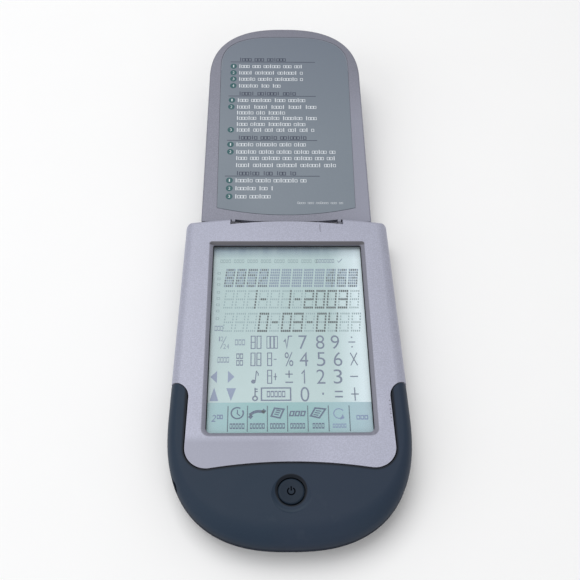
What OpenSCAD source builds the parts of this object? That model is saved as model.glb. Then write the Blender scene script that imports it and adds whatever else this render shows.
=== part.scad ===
// Touch-screen pocket organiser with a flip cover.
// It lies on its back: +X is right, +Y runs from the grip end to the hinge end, +Z comes out of the screen.
// The origin is the centre of the flat back. The cover is drawn open, leaning open_rise above level.

/* [Body] */
// Width of the grip at its widest
body_w = 78.7; // [76:0.1:96]
// Length of the body, grip end to hinge shoulders
body_l = 122.4; // [118:0.1:148]
// Thickness of the body, back to face
body_t = 14; // [13.8:0.1:17]
// Thickness of the side walls
wall = 2; // [1.6:0.1:2.4]
// Thickness of the face
skin = 1.3; // [1.2:0.1:1.6]
// Thickness of the floor of the rear case
floor_t = 1.6; // [1.4:0.1:1.8]
// Height of the joint line between the rear case and the front parts
parting_z = 6.5; // [6.4:0.1:7]
// How much narrower the front case is than the grip, on each side
grip_step = 0.25; // [0.2:0.05:0.8]
// How much the body tapers towards the hinge, on each side
end_taper = 1.8; // [0:0.1:3]
// Radius of the arc of the hinge end
end_arc_r = 225; // [150:5:300]
// Corner radius of the hinge end, seen from the front
end_corner_r = 1.9; // [1.8:0.1:3.5]
// Length of the rounded grip end
grip_round_l = 40.7; // [38:0.1:46]

/* [Edges] */
// How far in from the side the front case starts to roll off
side_roll_w = 3.8; // [3:0.1:6]
// How far down the side roll reaches
side_roll_h = 2.5; // [1.5:0.1:3]
// How far in from the side the grip starts to roll off
grip_roll_w = 3.4; // [2:0.1:5]
// How far in from the grip end the face starts to roll off
tail_roll_w = 8; // [5:0.1:9]
// How far down the roll of the grip's sides and end reaches
tail_roll_h = 5; // [3:0.1:6]
// Rounding of the edge at the hinge end
end_roll = 1.4; // [0.8:0.1:2]
// How far the sides draw in towards the flat back
side_tuck = 3.5; // [2.5:0.1:4]
// How far the grip end draws in towards the flat back
tail_tuck = 6; // [3:0.1:7]
// How far the hinge end draws in towards the flat back
end_tuck = 2.5; // [1.5:0.1:3]
// Radius of the edge of the flat back
back_roll = 0.8; // [0.4:0.1:1.2]

/* [Grip] */
// Width of the arms of the grip beside the front case
arm_w = 6.1; // [5.5:0.1:8]
// How much wider each arm gets towards its tip
arm_flare = 0.4; // [0:0.1:1]
// Radius of the inner corner of each arm's tip
arm_tip_r = 5.4; // [4:0.1:5.5]
// How far the arms reach past the lower edge of the screen
arm_rise = 18; // [12:0.1:30]
// Distance from the screen to the grip on the centre line
chin_h = 9.9; // [9.5:0.1:14]
// Radius of the arched edge between the front case and the grip
chin_arc_r = 158; // [120:1:220]
// Corner radius of the front case inside the grip
chin_corner_r = 7; // [5:0.1:9]
// Gap between the front case and the grip
grip_gap = 0.35; // [0.15:0.05:0.4]
// Thickness of the skirts on both sides of that gap
skirt_t = 1.2; // [1:0.1:1.6]
// Height of the lower edge of those skirts
skirt_z = 8.6; // [8:0.1:9]

/* [Screen] */
// Visible width of the screen
screen_w = 54; // [46:0.5:56]
// Visible height of the screen
screen_h = 74.5; // [60:0.5:90]
// Distance from the hinge shoulders to the screen
screen_top_gap = 12.2; // [12:0.1:22]
// Width of the sloping edge around the screen
bezel_w = 1.5; // [1:0.1:2]
// Depth of the sloping edge around the screen
bezel_h = 0.7; // [0.3:0.1:0.9]
// Corner radius of the screen opening at the grip side
window_r = 2; // [1:0.1:3]
// How far the glass reaches under the rim at the sides
glass_side_rim = 2; // [1.6:0.1:2.2]
// How far the glass reaches under the rim at the ends
glass_end_rim = 1.6; // [1.5:0.1:1.7]
// Thickness of the touch panel
touch_t = 1.1; // [0.8:0.1:1.2]
// Thickness of each glass of the display
glass_t = 0.7; // [0.5:0.1:0.8]
// Thickness of the gasket between the face and the touch panel
gasket_t = 0.2; // [0.15:0.05:0.4]
// How much of the gasket shows inside the screen opening
gasket_show = 0.3; // [0:0.05:0.6]
// Height of the printed strip of function keys
strip_h = 11.7; // [8:0.1:14]

/* [Power button] */
// Radius of the button
button_r = 4.05; // [3:0.05:5]
// Gap around the button
button_gap = 0.35; // [0.3:0.05:0.5]
// Distance from the grip end to the button's centre
button_from_end = 16.3; // [15:0.1:24]
// Radius of the shallow dish around the button
dish_r = 6.3; // [6:0.1:8]
// Depth of the dish
dish_depth = 0.8; // [0.4:0.1:1]
// Travel of the button
button_travel = 0.8; // [0.4:0.1:1]

/* [Cover] */
// Width of the cover at its hinge
cover_w = 64.4; // [60:0.1:72]
// How much the cover narrows towards its tip, on each side
cover_taper = 1.2; // [0:0.1:3]
// Thickness of the cover
cover_t = 2; // [1.6:0.1:3]
// Length of the cover's rounded tip
cover_round_l = 27.3; // [20:0.1:32]
// How far the closed cover reaches past the grip's edge
cover_overlap = 2.9; // [0:0.1:3.2]
// Gap between the closed cover and the face
cover_gap = 0.3; // [0.3:0.05:0.6]
// How far the open cover leans up from level, in degrees
open_rise = 8; // [0:1:20]
// Half width of the card in the cover
card_half = 26.5; // [20:0.1:27]
// Thickness of the card
card_t = 0.25; // [0.2:0.05:0.5]

/* [Hinge] */
// Width of the notch between the hinge shoulders
notch_w = 42; // [36:0.5:46]
// Depth of the notch beside the ears, from the shoulders
notch_depth = 3; // [2.8:0.1:3.4]
// How far the notch's floor bulges towards the hinge end on the centre line
notch_bulge = 1.4; // [0:0.1:1.8]
// Distance from the hinge shoulders to the hinge axis
hinge_from_end = 1.7; // [1.6:0.1:2]
// Distance from the face down to the hinge axis
hinge_drop = 1.9; // [1.8:0.1:2.4]
// Radius of the hinge pegs
peg_r = 0.6; // [0.5:0.05:0.7]
// Running clearance of the pegs in the shoulders
peg_clearance = 0.05; // [0.03:0.01:0.08]
// Length of the pegs inside the shoulders
peg_bite = 3.6; // [2.5:0.1:4.5]
// Radius of the ears around the pegs
ear_r = 1; // [0.9:0.05:1.1]
// Width of each ear
ear_w = 1.3; // [1:0.1:1.8]
// Gap between the ears and the shoulders
ear_gap = 0.3; // [0.25:0.05:0.4]

/* [Stylus] */
// Radius of the stylus
stylus_r = 1.7; // [1.4:0.1:1.8]
// Gap around the stylus in its channel
stylus_gap = 0.3; // [0.25:0.05:0.4]
// Length of the stylus, nib included
stylus_l = 92; // [70:1:96]
// Radius of the stylus head
head_r = 2.1; // [1.9:0.1:2.2]
// Length of the stylus head
head_l = 3; // [2:0.1:4]
// Length of the nib
nib_l = 5; // [3:0.5:8]

/* [Battery] */
// Radius of a coin cell
cell_r = 10; // [8:0.5:10.5]
// Thickness of a coin cell
cell_t = 3.2; // [2:0.1:3.2]
// Thickness of the battery door
door_t = 1.2; // [1:0.1:1.4]
// Gap around the battery door
door_gap = 0.3; // [0.25:0.05:0.4]
// Place of the cells along the body
cell_y = -20; // [-21:0.5:-16]

/* [Electronics] */
// Thickness of the main board
board_t = 1; // [0.8:0.1:1]
// Height of the underside of the board
board_z = 5.6; // [5.5:0.1:5.8]
// Radius of the link jack's bore
jack_bore_r = 1.3; // [1.25:0.05:1.8]
// Depth of the link jack's bore
jack_depth = 9.6; // [8:0.1:10]
// Length of the link jack's nose, from its body to the side of the grip
jack_nose_l = 7; // [5:0.1:7.5]
// Radius of the buzzer
buzzer_r = 9.8; // [8:0.1:10]
// Travel of the reset key
reset_travel = 0.3; // [0.2:0.05:0.4]

/* [Hidden] */
$fn = 48;

silver = [0.66, 0.65, 0.70];
navy = [0.16, 0.20, 0.26];
steel = [0.75, 0.76, 0.78];
board_green = [0.10, 0.35, 0.20];
rubber_black = [0.08, 0.08, 0.09];
brass = [0.72, 0.58, 0.28];

slice = 0.01;          // thickness of a slice in a lofted shell
round_power = 2.5;     // exponent of the rounded grip end and cover tip
hair = 0.02;           // clearance between neighbours that are fastened together

// Heights
face_z = body_t;
ceiling_z = face_z - skin;
board_top = board_z + board_t;
touch_top = ceiling_z - gasket_t;
touch_z = touch_top - touch_t;
strip_t = 0.1;
lcd_top = touch_z - strip_t - hair;
lcd_mid = lcd_top - glass_t;
lcd_low = lcd_mid - glass_t;
reflector_t = 0.2;
reflector_z = lcd_low - reflector_t;
frame_floor_t = 0.8;
frame_z = reflector_z - frame_floor_t;

// Plan
end_y = body_l / 2;
apex_y = end_y + end_arc_r - sqrt(pow(end_arc_r, 2) - pow(notch_w / 2, 2));
half_w = body_w / 2;
case_half = half_w - grip_step;
round_y = -end_y + grip_round_l;
screen_y1 = end_y - screen_top_gap;
screen_y0 = screen_y1 - screen_h;
screen_cy = (screen_y0 + screen_y1) / 2;
arm_y = screen_y0 + arm_rise;
chin_y = screen_y0 - chin_h;
tongue_half = half_w - arm_w;
tongue_half_top = tongue_half - arm_flare;
button_y = -end_y + button_from_end;
arm_round_x = tongue_half_top + arm_tip_r;
chin_fillet_x = tongue_half - chin_corner_r;
chin_centre_y = chin_y - chin_arc_r;
chin_fillet_y = chin_centre_y + sqrt(pow(chin_arc_r + chin_corner_r, 2) - pow(chin_fillet_x, 2));
chin_angle = atan2(chin_centre_y - chin_fillet_y, -chin_fillet_x);
hinge_wall = 4.8;      // from the apex of the hinge end to the cavity

// Hinge and cover; t is the distance from the hinge axis along the cover
hinge_y = end_y - hinge_from_end;
hinge_z = face_z - hinge_drop;
notch_y = end_y - notch_depth;
cover_face = hinge_drop + cover_gap;
cover_reach = hinge_y - (chin_y - cover_overlap);
cover_half = cover_w / 2;
cover_half_tip = cover_half - cover_taper;
cover_round_t = cover_reach - cover_round_l;
cover_base_t = 2.4;
cover_arch = 1.2;      // how far the base edge draws back beside the ears
ear_x1 = notch_w / 2 - ear_gap;
ear_x0 = ear_x1 - ear_w;
card_base_t = 5.5;
card_base_sag = 3.2;
card_tip_t = cover_reach - 4.4;
card_round_l = 18;
card_power = 3;
card_gap = 0.15;

// Display pack
glass_half = screen_w / 2 + glass_side_rim;
glass_y0 = screen_y0 - glass_end_rim;
glass_y1 = screen_y1 + glass_end_rim;
frame_gap = 0.2;
frame_wall = 0.8;
frame_half = glass_half + frame_gap + frame_wall;
frame_y0 = glass_y0 - frame_gap - frame_wall;
frame_y1 = glass_y1 + frame_gap + frame_wall;
zebra_w = 1.2;
ledge = 1.7;           // how far the front glass reaches past the rear glass at both ends

// Fasteners: [x, y]
screw_r = 1;
screw_head_r = 1.8;
screw_head_h = 1.3;
screw_seat_z = 2.6;
screw_boss_r = 2.2;
pillar_r = 2.9;
top_screw_x = 27;
top_screw_y = frame_y1 + screw_boss_r + 0.3;
mid_screw_x = chin_fillet_x + 0.4;
mid_screw_y = frame_y0 - screw_boss_r - 0.15;
low_screw_x = 19;
low_screw_y = -end_y + 10;
case_screw_at = [
    [top_screw_x, top_screw_y], [-top_screw_x, top_screw_y],
    [mid_screw_x, mid_screw_y], [-mid_screw_x, mid_screw_y],
    [low_screw_x, low_screw_y], [-low_screw_x, low_screw_y]
];
screw_l = ceiling_z - 2.2 - screw_seat_z;
board_screw_r = 0.8;
board_head_r = 1.5;
board_head_h = 0.9;
board_screw_l = 4;
board_boss_r = 1.8;
board_screw_y = frame_y1 + board_boss_r + 0.3;
board_screw_at = [[13, board_screw_y], [-13, board_screw_y]];

// Stylus
channel_r = stylus_r + stylus_gap;
stylus_x = case_half - end_taper - wall - channel_r - 0.3;
stylus_z = 3.9;
stylus_end_y = apex_y - end_arc_r + sqrt(pow(end_arc_r, 2) - pow(stylus_x, 2)) + 0.4;
channel_y = stylus_end_y - stylus_l - 1;
rib_x0 = stylus_x - channel_r - 0.7;

// Battery
cell_x = cell_r + 0.7;
cell_z = door_t + 0.5;
cell_top = cell_z + cell_t;
well_gap = 0.5;
well_half_x = cell_x + cell_r + well_gap;
well_half_y = cell_r + well_gap;
well_wall = 1.2;
well_top = board_z - 0.2;
ledge_w = 1.5;
door_half_x = well_half_x + ledge_w;
door_half_y = well_half_y + ledge_w;
door_ear_r = 3.4;
door_screw_y = cell_y + door_half_y + 1.2;
door_screw_z = door_t - 0.5;

// Electronics
board_half = rib_x0 - 0.4;
board_y0 = -end_y + 12.5;
board_y1 = apex_y - hinge_wall - 2.4;
jack_y = button_y + 3.4;
jack_z = board_top + 2.4;
jack_l = 9;
jack_w = 5;
jack_h = 4.7;
jack_side = half_w * pow(1 - pow((round_y - jack_y + jack_w / 2) / grip_round_l, round_power),
    1 / round_power);
jack_x = jack_l + jack_nose_l - jack_side;
jack_nose_r = 2.1;
buzzer_x = -12;
buzzer_y = screen_cy + 18;
buzzer_z = floor_t + 0.8;
reset_x = 16;
reset_y = cell_y + 24;
reset_r = 0.75;
reset_case_h = 1.6;
blob_x = 10;
blob_y = screen_cy + 22;
blob_r = 7;
blob_h = 1.2;
flange_r = button_r + 1.1;
flange_t = 0.9;
flange_top = ceiling_z - 0.4;
stem_r = 2.4;
membrane_h = 1.6;
tail_x = 8;
tail_half = 5;
tail_t = 0.2;

// ---------- outlines ----------
function arc(cx, cy, r, a0, a1, n) =
    [for (i = [0:n]) let (a = a0 + (a1 - a0) * i / n) [cx + r * cos(a), cy + r * sin(a)]];
function flipped(points) = [for (i = [len(points) - 1:-1:0]) [-points[i][0], points[i][1]]];
function both_sides(points) = concat(points, flipped(points));

// The right half of a rounded end, from near the centre line to the side. way is -1 for the grip end.
function round_end(a, b, cy, way, p, n) =
    [for (i = [1:n]) let (t = 90 - 90 * i / n) [a * pow(cos(t), 2 / p), cy + way * b * pow(sin(t), 2 / p)]];

// How far in an edge rounding of width w and height h has come at height z, where it ends at top.
function roll(z, top, w, h) =
    let (u = max(0, min(1, (z - (top - h)) / h))) w * (1 - sqrt(max(0, 1 - u * u)));
function tuck(z, w) = w * pow(max(0, (parting_z - z) / parting_z), 1.8) +
    roll(back_roll - z, back_roll, back_roll, back_roll);

// The body's outline: half is its half width, drawn in by s at the sides, e at the grip end, t at the hinge end.
function outline(half, s, e, t) =
    let (
        corner = max(0.4, end_corner_r - s),
        big_r = end_arc_r - t,
        big_y = apex_y - end_arc_r,
        top_half = half - end_taper - s,
        fx = top_half - corner,
        fy = big_y + sqrt(pow(big_r - corner, 2) - fx * fx),
        meet = atan2(fy - big_y, fx)
    )
    both_sides(concat(
        round_end(half - s, grip_round_l - e, round_y, -1, round_power, 20),
        arc(fx, fy, corner, 0, meet, 6),
        arc(0, big_y, big_r, meet + 1, 89, 8)
    ));

// The part of the plan that belongs to the front case, grown by g.
function tongue_plan(g) =
    both_sides(concat(
        arc(0, chin_centre_y, chin_arc_r - g, 89, 180 + chin_angle, 8),
        arc(chin_fillet_x, chin_fillet_y, chin_corner_r + g, chin_angle, 0, 10),
        arc(arm_round_x, arm_y - arm_tip_r, arm_tip_r - g, 180, 90, 10),
        [[half_w + 10, arm_y + g * 0], [half_w + 10, end_y + 10]]
    ));

// The screen opening grown by g. Its corners are nearly sharp at the hinge side.
function window_plan(g) =
    let (hx = screen_w / 2 + g, y0 = screen_y0 - g, y1 = screen_y1 + g, rl = window_r + g * 0.5,
        rt = 0.6 + g * 0.3)
    both_sides(concat(
        arc(hx - rl, y0 + rl, rl, 270, 360, 8),
        arc(hx - rt, y1 - rt, rt, 0, 90, 5)
    ));

// The cover's outline in its own plane, x and t.
function cover_plan() =
    let (
        arch_r = pow(ear_x0, 2) / (2 * cover_arch),
        side = cover_half
    )
    both_sides(concat(
        [for (i = [1:8]) let (x = ear_x0 * i / 8) [x, cover_base_t + x * x / (2 * arch_r)]],
        [[ear_x1 + 0.4, cover_base_t + cover_arch], [ear_x1 + 1.2, cover_base_t]],
        arc(side - 0.8, cover_base_t + 0.8, 0.8, -90, 0, 4),
        [for (i = [0:19]) let (t = 90 * i / 20)
            [cover_half_tip * pow(cos(t), 2 / round_power),
             cover_round_t + cover_round_l * pow(sin(t), 2 / round_power)]]
    ));

// The card's outline, drawn in by g.
function card_plan(g) =
    let (
        half = card_half - g,
        sag_r = pow(card_half, 2) / (2 * card_base_sag),
        round_l = card_round_l
    )
    both_sides(concat(
        [for (i = [1:8]) let (x = half * i / 8) [x, card_base_t + g + x * x / (2 * sag_r)]],
        [for (i = [0:19]) let (t = 90 * i / 20)
            [half * pow(cos(t), 2 / card_power), card_tip_t - round_l + (round_l - g) * pow(sin(t),
                2 / card_power)]]
    ));

// ---------- solids shared by the shells ----------
drops = [tail_roll_h, 3.6, side_roll_h, 1.6, 0.9, 0.4, 0.1, 0];
front_z = concat([parting_z], [for (d = drops) face_z - d]);
back_z = [0, 0.15, 0.4, back_roll, 1.6, 2.6, 3.8, 5, parting_z];
hollow_z = [floor_t, 2.8, 4.4, parting_z, parting_z + 1];

// A closed solid through rings of points, each at its own height, from the bottom up.
module loft(heights, rings) {
    n = len(rings[0]);
    m = len(rings);
    polyhedron(
        points = [for (k = [0:m - 1]) for (p = rings[k]) [p[0], p[1], heights[k]]],
        faces = concat(
            [[for (i = [0:n - 1]) i]],
            [[for (i = [n - 1:-1:0]) (m - 1) * n + i]],
            [for (k = [0:m - 2]) for (i = [0:n - 1]) [k * n + i, (k + 1) * n + i,
                (k + 1) * n + (i + 1) % n]],
            [for (k = [0:m - 2]) for (i = [0:n - 1]) [k * n + i, (k + 1) * n + (i + 1) % n,
                k * n + (i + 1) % n]]
        )
    );
}
module front_shape() {
    loft(front_z, [for (z = front_z) outline(case_half, roll(z, face_z, side_roll_w, side_roll_h),
        roll(z, face_z, tail_roll_w, tail_roll_h), roll(z, face_z, end_roll, end_roll))]);
}
module grip_shape() {
    loft(front_z, [for (z = front_z) outline(half_w, roll(z, face_z, grip_roll_w, tail_roll_h),
        roll(z, face_z, tail_roll_w, tail_roll_h), roll(z, face_z, end_roll, end_roll))]);
}
module back_shape(half) {
    loft(back_z, [for (z = back_z) outline(half, tuck(z, side_tuck), tuck(z, tail_tuck), tuck(z,
        end_tuck))]);
}
module prism(z0, z1, points) {
    translate([0, 0, z0])
        linear_extrude(z1 - z0)
            polygon(points);
}
module box(x0, x1, y0, y1, z0, z1) {
    translate([x0, y0, z0])
        cube([x1 - x0, y1 - y0, z1 - z0]);
}
module post(at, z0, z1, r) {
    translate([at[0], at[1], z0])
        cylinder(h = z1 - z0, r = r);
}

// The notch between the hinge shoulders, right through the body.
module notch() {
    bulge_r = pow(notch_w / 2, 2) / (2 * notch_bulge);
    prism(-1, face_z + 1, concat(
        [for (i = [-8:8]) let (x = notch_w / 2 * i / 8) [x, notch_y + notch_bulge - x * x / (2 * bulge_r)]],
        [[notch_w / 2, end_y + 9], [-notch_w / 2, end_y + 9]]
    ));
}

// ---------- shells ----------
module front_case() {
    color(silver)
        difference() {
            union() {
                difference() {
                    intersection() {
                        front_shape();
                        prism(parting_z, face_z + 1, tongue_plan(0));
                    }
                    prism(parting_z - 1, skirt_z, outline(case_half, wall, wall, hinge_wall));
                    intersection() {
                        prism(skirt_z - 0.01, ceiling_z, outline(case_half, wall, wall, hinge_wall));
                        prism(skirt_z - 1, ceiling_z + 1, tongue_plan(-skirt_t));
                    }
                }
                for (i = [0:1])
                    post(case_screw_at[i], parting_z + hair, ceiling_z + 0.2, screw_boss_r);
                for (i = [2:3])
                    post(case_screw_at[i], board_top + hair, ceiling_z + 0.2, screw_boss_r);
                for (at = board_screw_at)
                    post(at, board_top + hair, ceiling_z + 0.2, board_boss_r);
            }
            prism(ceiling_z - 1, face_z + 1, window_plan(0));
            hull() {
                prism(face_z - bezel_h, face_z - bezel_h + slice, window_plan(0));
                prism(face_z + 0.2, face_z + 0.2 + slice, window_plan(bezel_w * (bezel_h + 0.2) / bezel_h));
            }
            notch();
            for (side = [-1, 1])
                translate([side * (notch_w / 2 - 1), hinge_y, hinge_z])
                    rotate([0, 90 * side, 0])
                        cylinder(h = peg_bite + ear_gap + 1.4, r = peg_r + peg_clearance);
            for (i = [0:3])
                post(case_screw_at[i], parting_z - 1, screw_seat_z + screw_l + 0.4, screw_r);
            for (at = board_screw_at)
                post(at, parting_z - 1, board_z + board_screw_l + 0.3, board_screw_r);
        }
}

module grip_cover() {
    dish_ball_r = (pow(dish_r, 2) + pow(dish_depth, 2)) / (2 * dish_depth);
    color(navy)
        difference() {
            union() {
                difference() {
                    grip_shape();
                    prism(parting_z - 1, face_z + 1, tongue_plan(grip_gap));
                    prism(parting_z - 1, skirt_z, outline(case_half, wall, wall, wall));
                    difference() {
                        hull() {
                            prism(skirt_z - 0.01, skirt_z, outline(case_half, wall, wall, wall));
                            prism(ceiling_z, ceiling_z + slice, outline(case_half, 5, 8.5, wall));
                        }
                        prism(skirt_z - 1, face_z, tongue_plan(grip_gap + skirt_t));
                    }
                }
                for (i = [4:5])
                    post(case_screw_at[i], parting_z + hair, ceiling_z - 1, screw_boss_r);
            }
            translate([0, button_y - 0.8, face_z - dish_depth + dish_ball_r])
                sphere(r = dish_ball_r, $fn = 96);
            post([0, button_y], ceiling_z - 1, face_z + 1, button_r + button_gap);
            for (i = [4:5])
                post(case_screw_at[i], parting_z - 1, screw_seat_z + screw_l, screw_r);
            translate([-half_w - 5, jack_y, jack_z])
                rotate([0, 90, 0])
                    cylinder(h = half_w + 5 + jack_x - jack_l + 2, r = jack_nose_r + 0.25);
            box(-half_w - 1, half_w + 1, arm_y - 0.02, end_y + 10, 0, face_z + 1);
        }
}

module rear_case() {
    color(navy)
        difference() {
            union() {
                difference() {
                    union() {
                        back_shape(case_half);
                        intersection() {
                            back_shape(half_w);
                            box(-half_w - 1, half_w + 1, -end_y - 1, arm_y, -1, parting_z + 1);
                        }
                    }
                    loft(hollow_z, [for (z = hollow_z) outline(case_half, wall + tuck(z, side_tuck),
                        wall + tuck(z, tail_tuck), hinge_wall)]);
                }
                // battery well
                box(-well_half_x - well_wall, well_half_x + well_wall, cell_y - well_half_y - well_wall,
                    cell_y + well_half_y + well_wall, floor_t - 0.1, well_top);
                // stylus channel
                intersection() {
                    box(rib_x0, half_w, channel_y - 1.2, end_y - 2, floor_t - 0.1, parting_z - hair);
                    back_shape(case_half);
                }
                intersection() {
                    for (i = [0:5])
                        post(case_screw_at[i], floor_t - 0.1,
                            i == 2 || i == 3 ? board_z : parting_z - hair, pillar_r);
                    back_shape(case_half);
                }
                post([0, door_screw_y], floor_t - 0.1, well_top, 2.4);
                // seat of the buzzer
                difference() {
                    post([buzzer_x, buzzer_y], floor_t - 0.1, buzzer_z, buzzer_r);
                    post([buzzer_x, buzzer_y], floor_t - 1, buzzer_z + 1, buzzer_r - 1.2);
                }
                // board rests
                for (x = [-1, 1])
                    for (y = [screen_cy - 2, screen_cy + 32])
                        post([x * (board_half - 3), y], floor_t - 0.1, board_z - hair, 1.5);
            }
            box(-well_half_x, well_half_x, cell_y - well_half_y, cell_y + well_half_y, -1, parting_z + 1);
            door_space(door_gap);
            post([0, door_screw_y], -1, floor_t + 2.6, board_screw_r);
            translate([stylus_x, channel_y, stylus_z])
                rotate([-90, 0, 0])
                    cylinder(h = stylus_l + 10, r = channel_r);
            translate([stylus_x, stylus_end_y - head_l - 0.4, stylus_z])
                rotate([-90, 0, 0])
                    cylinder(h = head_l + 10, r = head_r + 0.3);
            for (at = case_screw_at) {
                post(at, -1, screw_seat_z, screw_head_r + 0.2);
                post(at, screw_seat_z - 0.1, parting_z + 1, screw_r + 0.15);
            }
            post([reset_x, reset_y], -1, floor_t + 1, reset_r + 0.35);
            for (i = [-2:2])
                box(buzzer_x + i * 2.4 - 0.5, buzzer_x + i * 2.4 + 0.5, buzzer_y - 4, buzzer_y + 4, -1,
                    floor_t + 1);
            notch();
        }
}

// The space for the battery door, grown by g.
module door_space(g) {
    box(-door_half_x - g, door_half_x + g, cell_y - door_half_y - g, cell_y + door_half_y + g, -1,
        door_t + hair);
    post([0, door_screw_y], -1, door_t + hair, door_ear_r + g);
}

module battery_door() {
    color(navy)
        difference() {
            union() {
                box(-door_half_x, door_half_x, cell_y - door_half_y, cell_y + door_half_y, 0, door_t);
                post([0, door_screw_y], 0, door_t, door_ear_r);
                for (x = [-1, 1])
                    box(x * cell_x - 2.5, x * cell_x + 2.5, cell_y - 2.5, cell_y + 2.5, door_t - 0.1,
                        cell_z - 0.05);
            }
            post([0, door_screw_y], door_screw_z, door_t + 1, board_screw_r + 0.15);
            post([0, door_screw_y], -1, door_screw_z, board_head_r + 0.15);
            for (i = [-3:3])
                box(i * 2.4 - 0.5, i * 2.4 + 0.5, cell_y - door_half_y + 1.5, cell_y - door_half_y + 5.5,
                    -1, 0.4);
        }
}

module door_screw() {
    color(steel)
        difference() {
            union() {
                post([0, door_screw_y], 0.1, door_screw_z - 0.01, board_head_r);
                post([0, door_screw_y], 0.1, floor_t + 2.4, board_screw_r - hair);
            }
            box(-0.9, 0.9, door_screw_y - 0.2, door_screw_y + 0.2, -1, 0.35);
            box(-0.2, 0.2, door_screw_y - 0.9, door_screw_y + 0.9, -1, 0.35);
        }
}

// ---------- display ----------
module screen_gasket() {
    color(rubber_black)
        difference() {
            box(-glass_half, glass_half, glass_y0 + 0.2, glass_y1 - 0.2, touch_top + 0.01,
                ceiling_z - 0.01);
            box(-screen_w / 2 + gasket_show, screen_w / 2 - gasket_show, screen_y0 + gasket_show,
                screen_y1 - gasket_show,
                touch_top - 1, ceiling_z + 1);
        }
}
module touch_panel() {
    color([0.75, 0.85, 0.85])
        box(-glass_half, glass_half, glass_y0, glass_y1, touch_z, touch_top);
}
module function_strip() {
    color([0.45, 0.68, 0.70])
        box(-screen_w / 2 - 0.8, screen_w / 2 + 0.8, screen_y0 - 0.8, screen_y0 + strip_h,
            lcd_top + 0.01, touch_z - 0.04);
}
module lcd_front_glass() {
    color([0.72, 0.84, 0.82])
        box(-glass_half, glass_half, glass_y0, glass_y1, lcd_mid + 0.01, lcd_top);
}
module lcd_rear_glass() {
    color([0.70, 0.82, 0.80])
        box(-glass_half, glass_half, glass_y0 + ledge, glass_y1 - ledge, lcd_low, lcd_mid);
}
module lcd_reflector() {
    color([0.70, 0.78, 0.74])
        box(-glass_half + 0.5, glass_half - 0.5, glass_y0 + ledge + 0.5, glass_y1 - ledge - 0.5,
            reflector_z, lcd_low - 0.01);
}
module lcd_frame() {
    color([0.80, 0.80, 0.78])
        difference() {
            union() {
                box(-frame_half, frame_half, frame_y0, frame_y1, frame_z, ceiling_z - 0.05);
                for (x = [-1, 1])
                    for (y = [frame_y0 + 3.5, screen_cy, frame_y1 - 3.5])
                        post([x * (frame_half - 2.2), y], board_top + hair, frame_z + 0.1, 1.2);
            }
            box(-frame_half + frame_wall, frame_half - frame_wall, frame_y0 + frame_wall,
                frame_y1 - frame_wall,
                frame_z + frame_floor_t - hair, ceiling_z + 1);
            box(-screen_w / 2 + 1, screen_w / 2 - 1, screen_y0 + 2, screen_y1 - 2, frame_z - 1, ceiling_z);
            for (y = [glass_y0 + 0.2, glass_y1 - zebra_w - 0.5])
                box(-screen_w / 2 + 0.7, screen_w / 2 - 0.7, y, y + zebra_w + 0.3, frame_z - 1, ceiling_z);
            box(tail_x - tail_half - 0.5, tail_x + tail_half + 0.5, frame_y0 - 1,
                frame_y0 + frame_wall + 0.1,
                frame_z - 1, touch_top + 0.1);
        }
}
module zebra(y) {
    color([0.85, 0.55, 0.50])
        box(-screen_w / 2 + 0.9, screen_w / 2 - 0.9, y, y + zebra_w, board_top + 0.01, lcd_mid);
}
module zebra_strip_bottom() {
    zebra(glass_y0 + 0.35);
}
module zebra_strip_top() {
    zebra(glass_y1 - zebra_w - 0.35);
}
module touch_tail() {
    tail_y = frame_y0 - 0.45;
    color([0.75, 0.45, 0.12])
        union() {
            box(tail_x - tail_half, tail_x + tail_half, tail_y, glass_y0 - 0.01, touch_z + 0.3,
                touch_z + 0.3 + tail_t);
            box(tail_x - tail_half, tail_x + tail_half, tail_y, tail_y + tail_t, board_top + 0.8,
                touch_z + 0.3 + tail_t);
            box(tail_x - tail_half, tail_x + tail_half, tail_y - 1.6, tail_y + tail_t, board_top + 0.8,
                board_top + 0.8 + tail_t);
        }
}
module tail_connector() {
    tail_y = frame_y0 - 0.45;
    color([0.85, 0.83, 0.76])
        difference() {
            box(tail_x - tail_half - 1.2, tail_x + tail_half + 1.2, tail_y - 2.8, tail_y - 0.4,
                board_top + 0.01, board_top + 1.6);
            box(tail_x - tail_half - hair, tail_x + tail_half + hair, tail_y - 1.6 - hair, tail_y + 1,
                board_top + 0.8 - hair, board_top + 0.8 + tail_t + hair);
        }
}

// ---------- board and its parts ----------
module main_board() {
    cut = 9;
    color(board_green)
        difference() {
            prism(board_z, board_top, both_sides([
                [board_half - cut - 9, board_y0], [board_half - cut, board_y0 + 2], [board_half - 1,
                    board_y0 + cut + 4],
                [board_half, board_y0 + cut + 8], [board_half, board_y1 - 6], [board_half - 6, board_y1]
            ]));
            for (i = [0:1])
                post(case_screw_at[i], board_z - 1, board_top + 1, pillar_r + 0.5);
            for (i = [2:3])
                post(case_screw_at[i], board_z - 1, board_top + 1, screw_r + 0.3);
            for (i = [4:5])
                post(case_screw_at[i], board_z - 1, board_top + 1, pillar_r + 0.5);
            for (at = board_screw_at)
                post(at, board_z - 1, board_top + 1, board_screw_r + 0.1);
        }
}
module processor_blob() {
    color(rubber_black)
        translate([blob_x, blob_y, board_top + 0.01])
            rotate_extrude()
                polygon(concat([[0, 0]], [for (i = [0:8]) [blob_r * cos(i * 11.25),
                    blob_h * sin(i * 11.25)]]));
}
module memory_chip() {
    color([0.12, 0.12, 0.13])
        union() {
            box(-17, -7, screen_cy + 8, screen_cy + 16, board_top + 0.15, board_top + 1.5);
            for (i = [0:7])
                for (x = [-18.4, -7.2])
                    box(x, x + 1.6, screen_cy + 8.6 + i * 0.95, screen_cy + 9 + i * 0.95,
                        board_top + 0.01, board_top + 0.35);
        }
}
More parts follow.
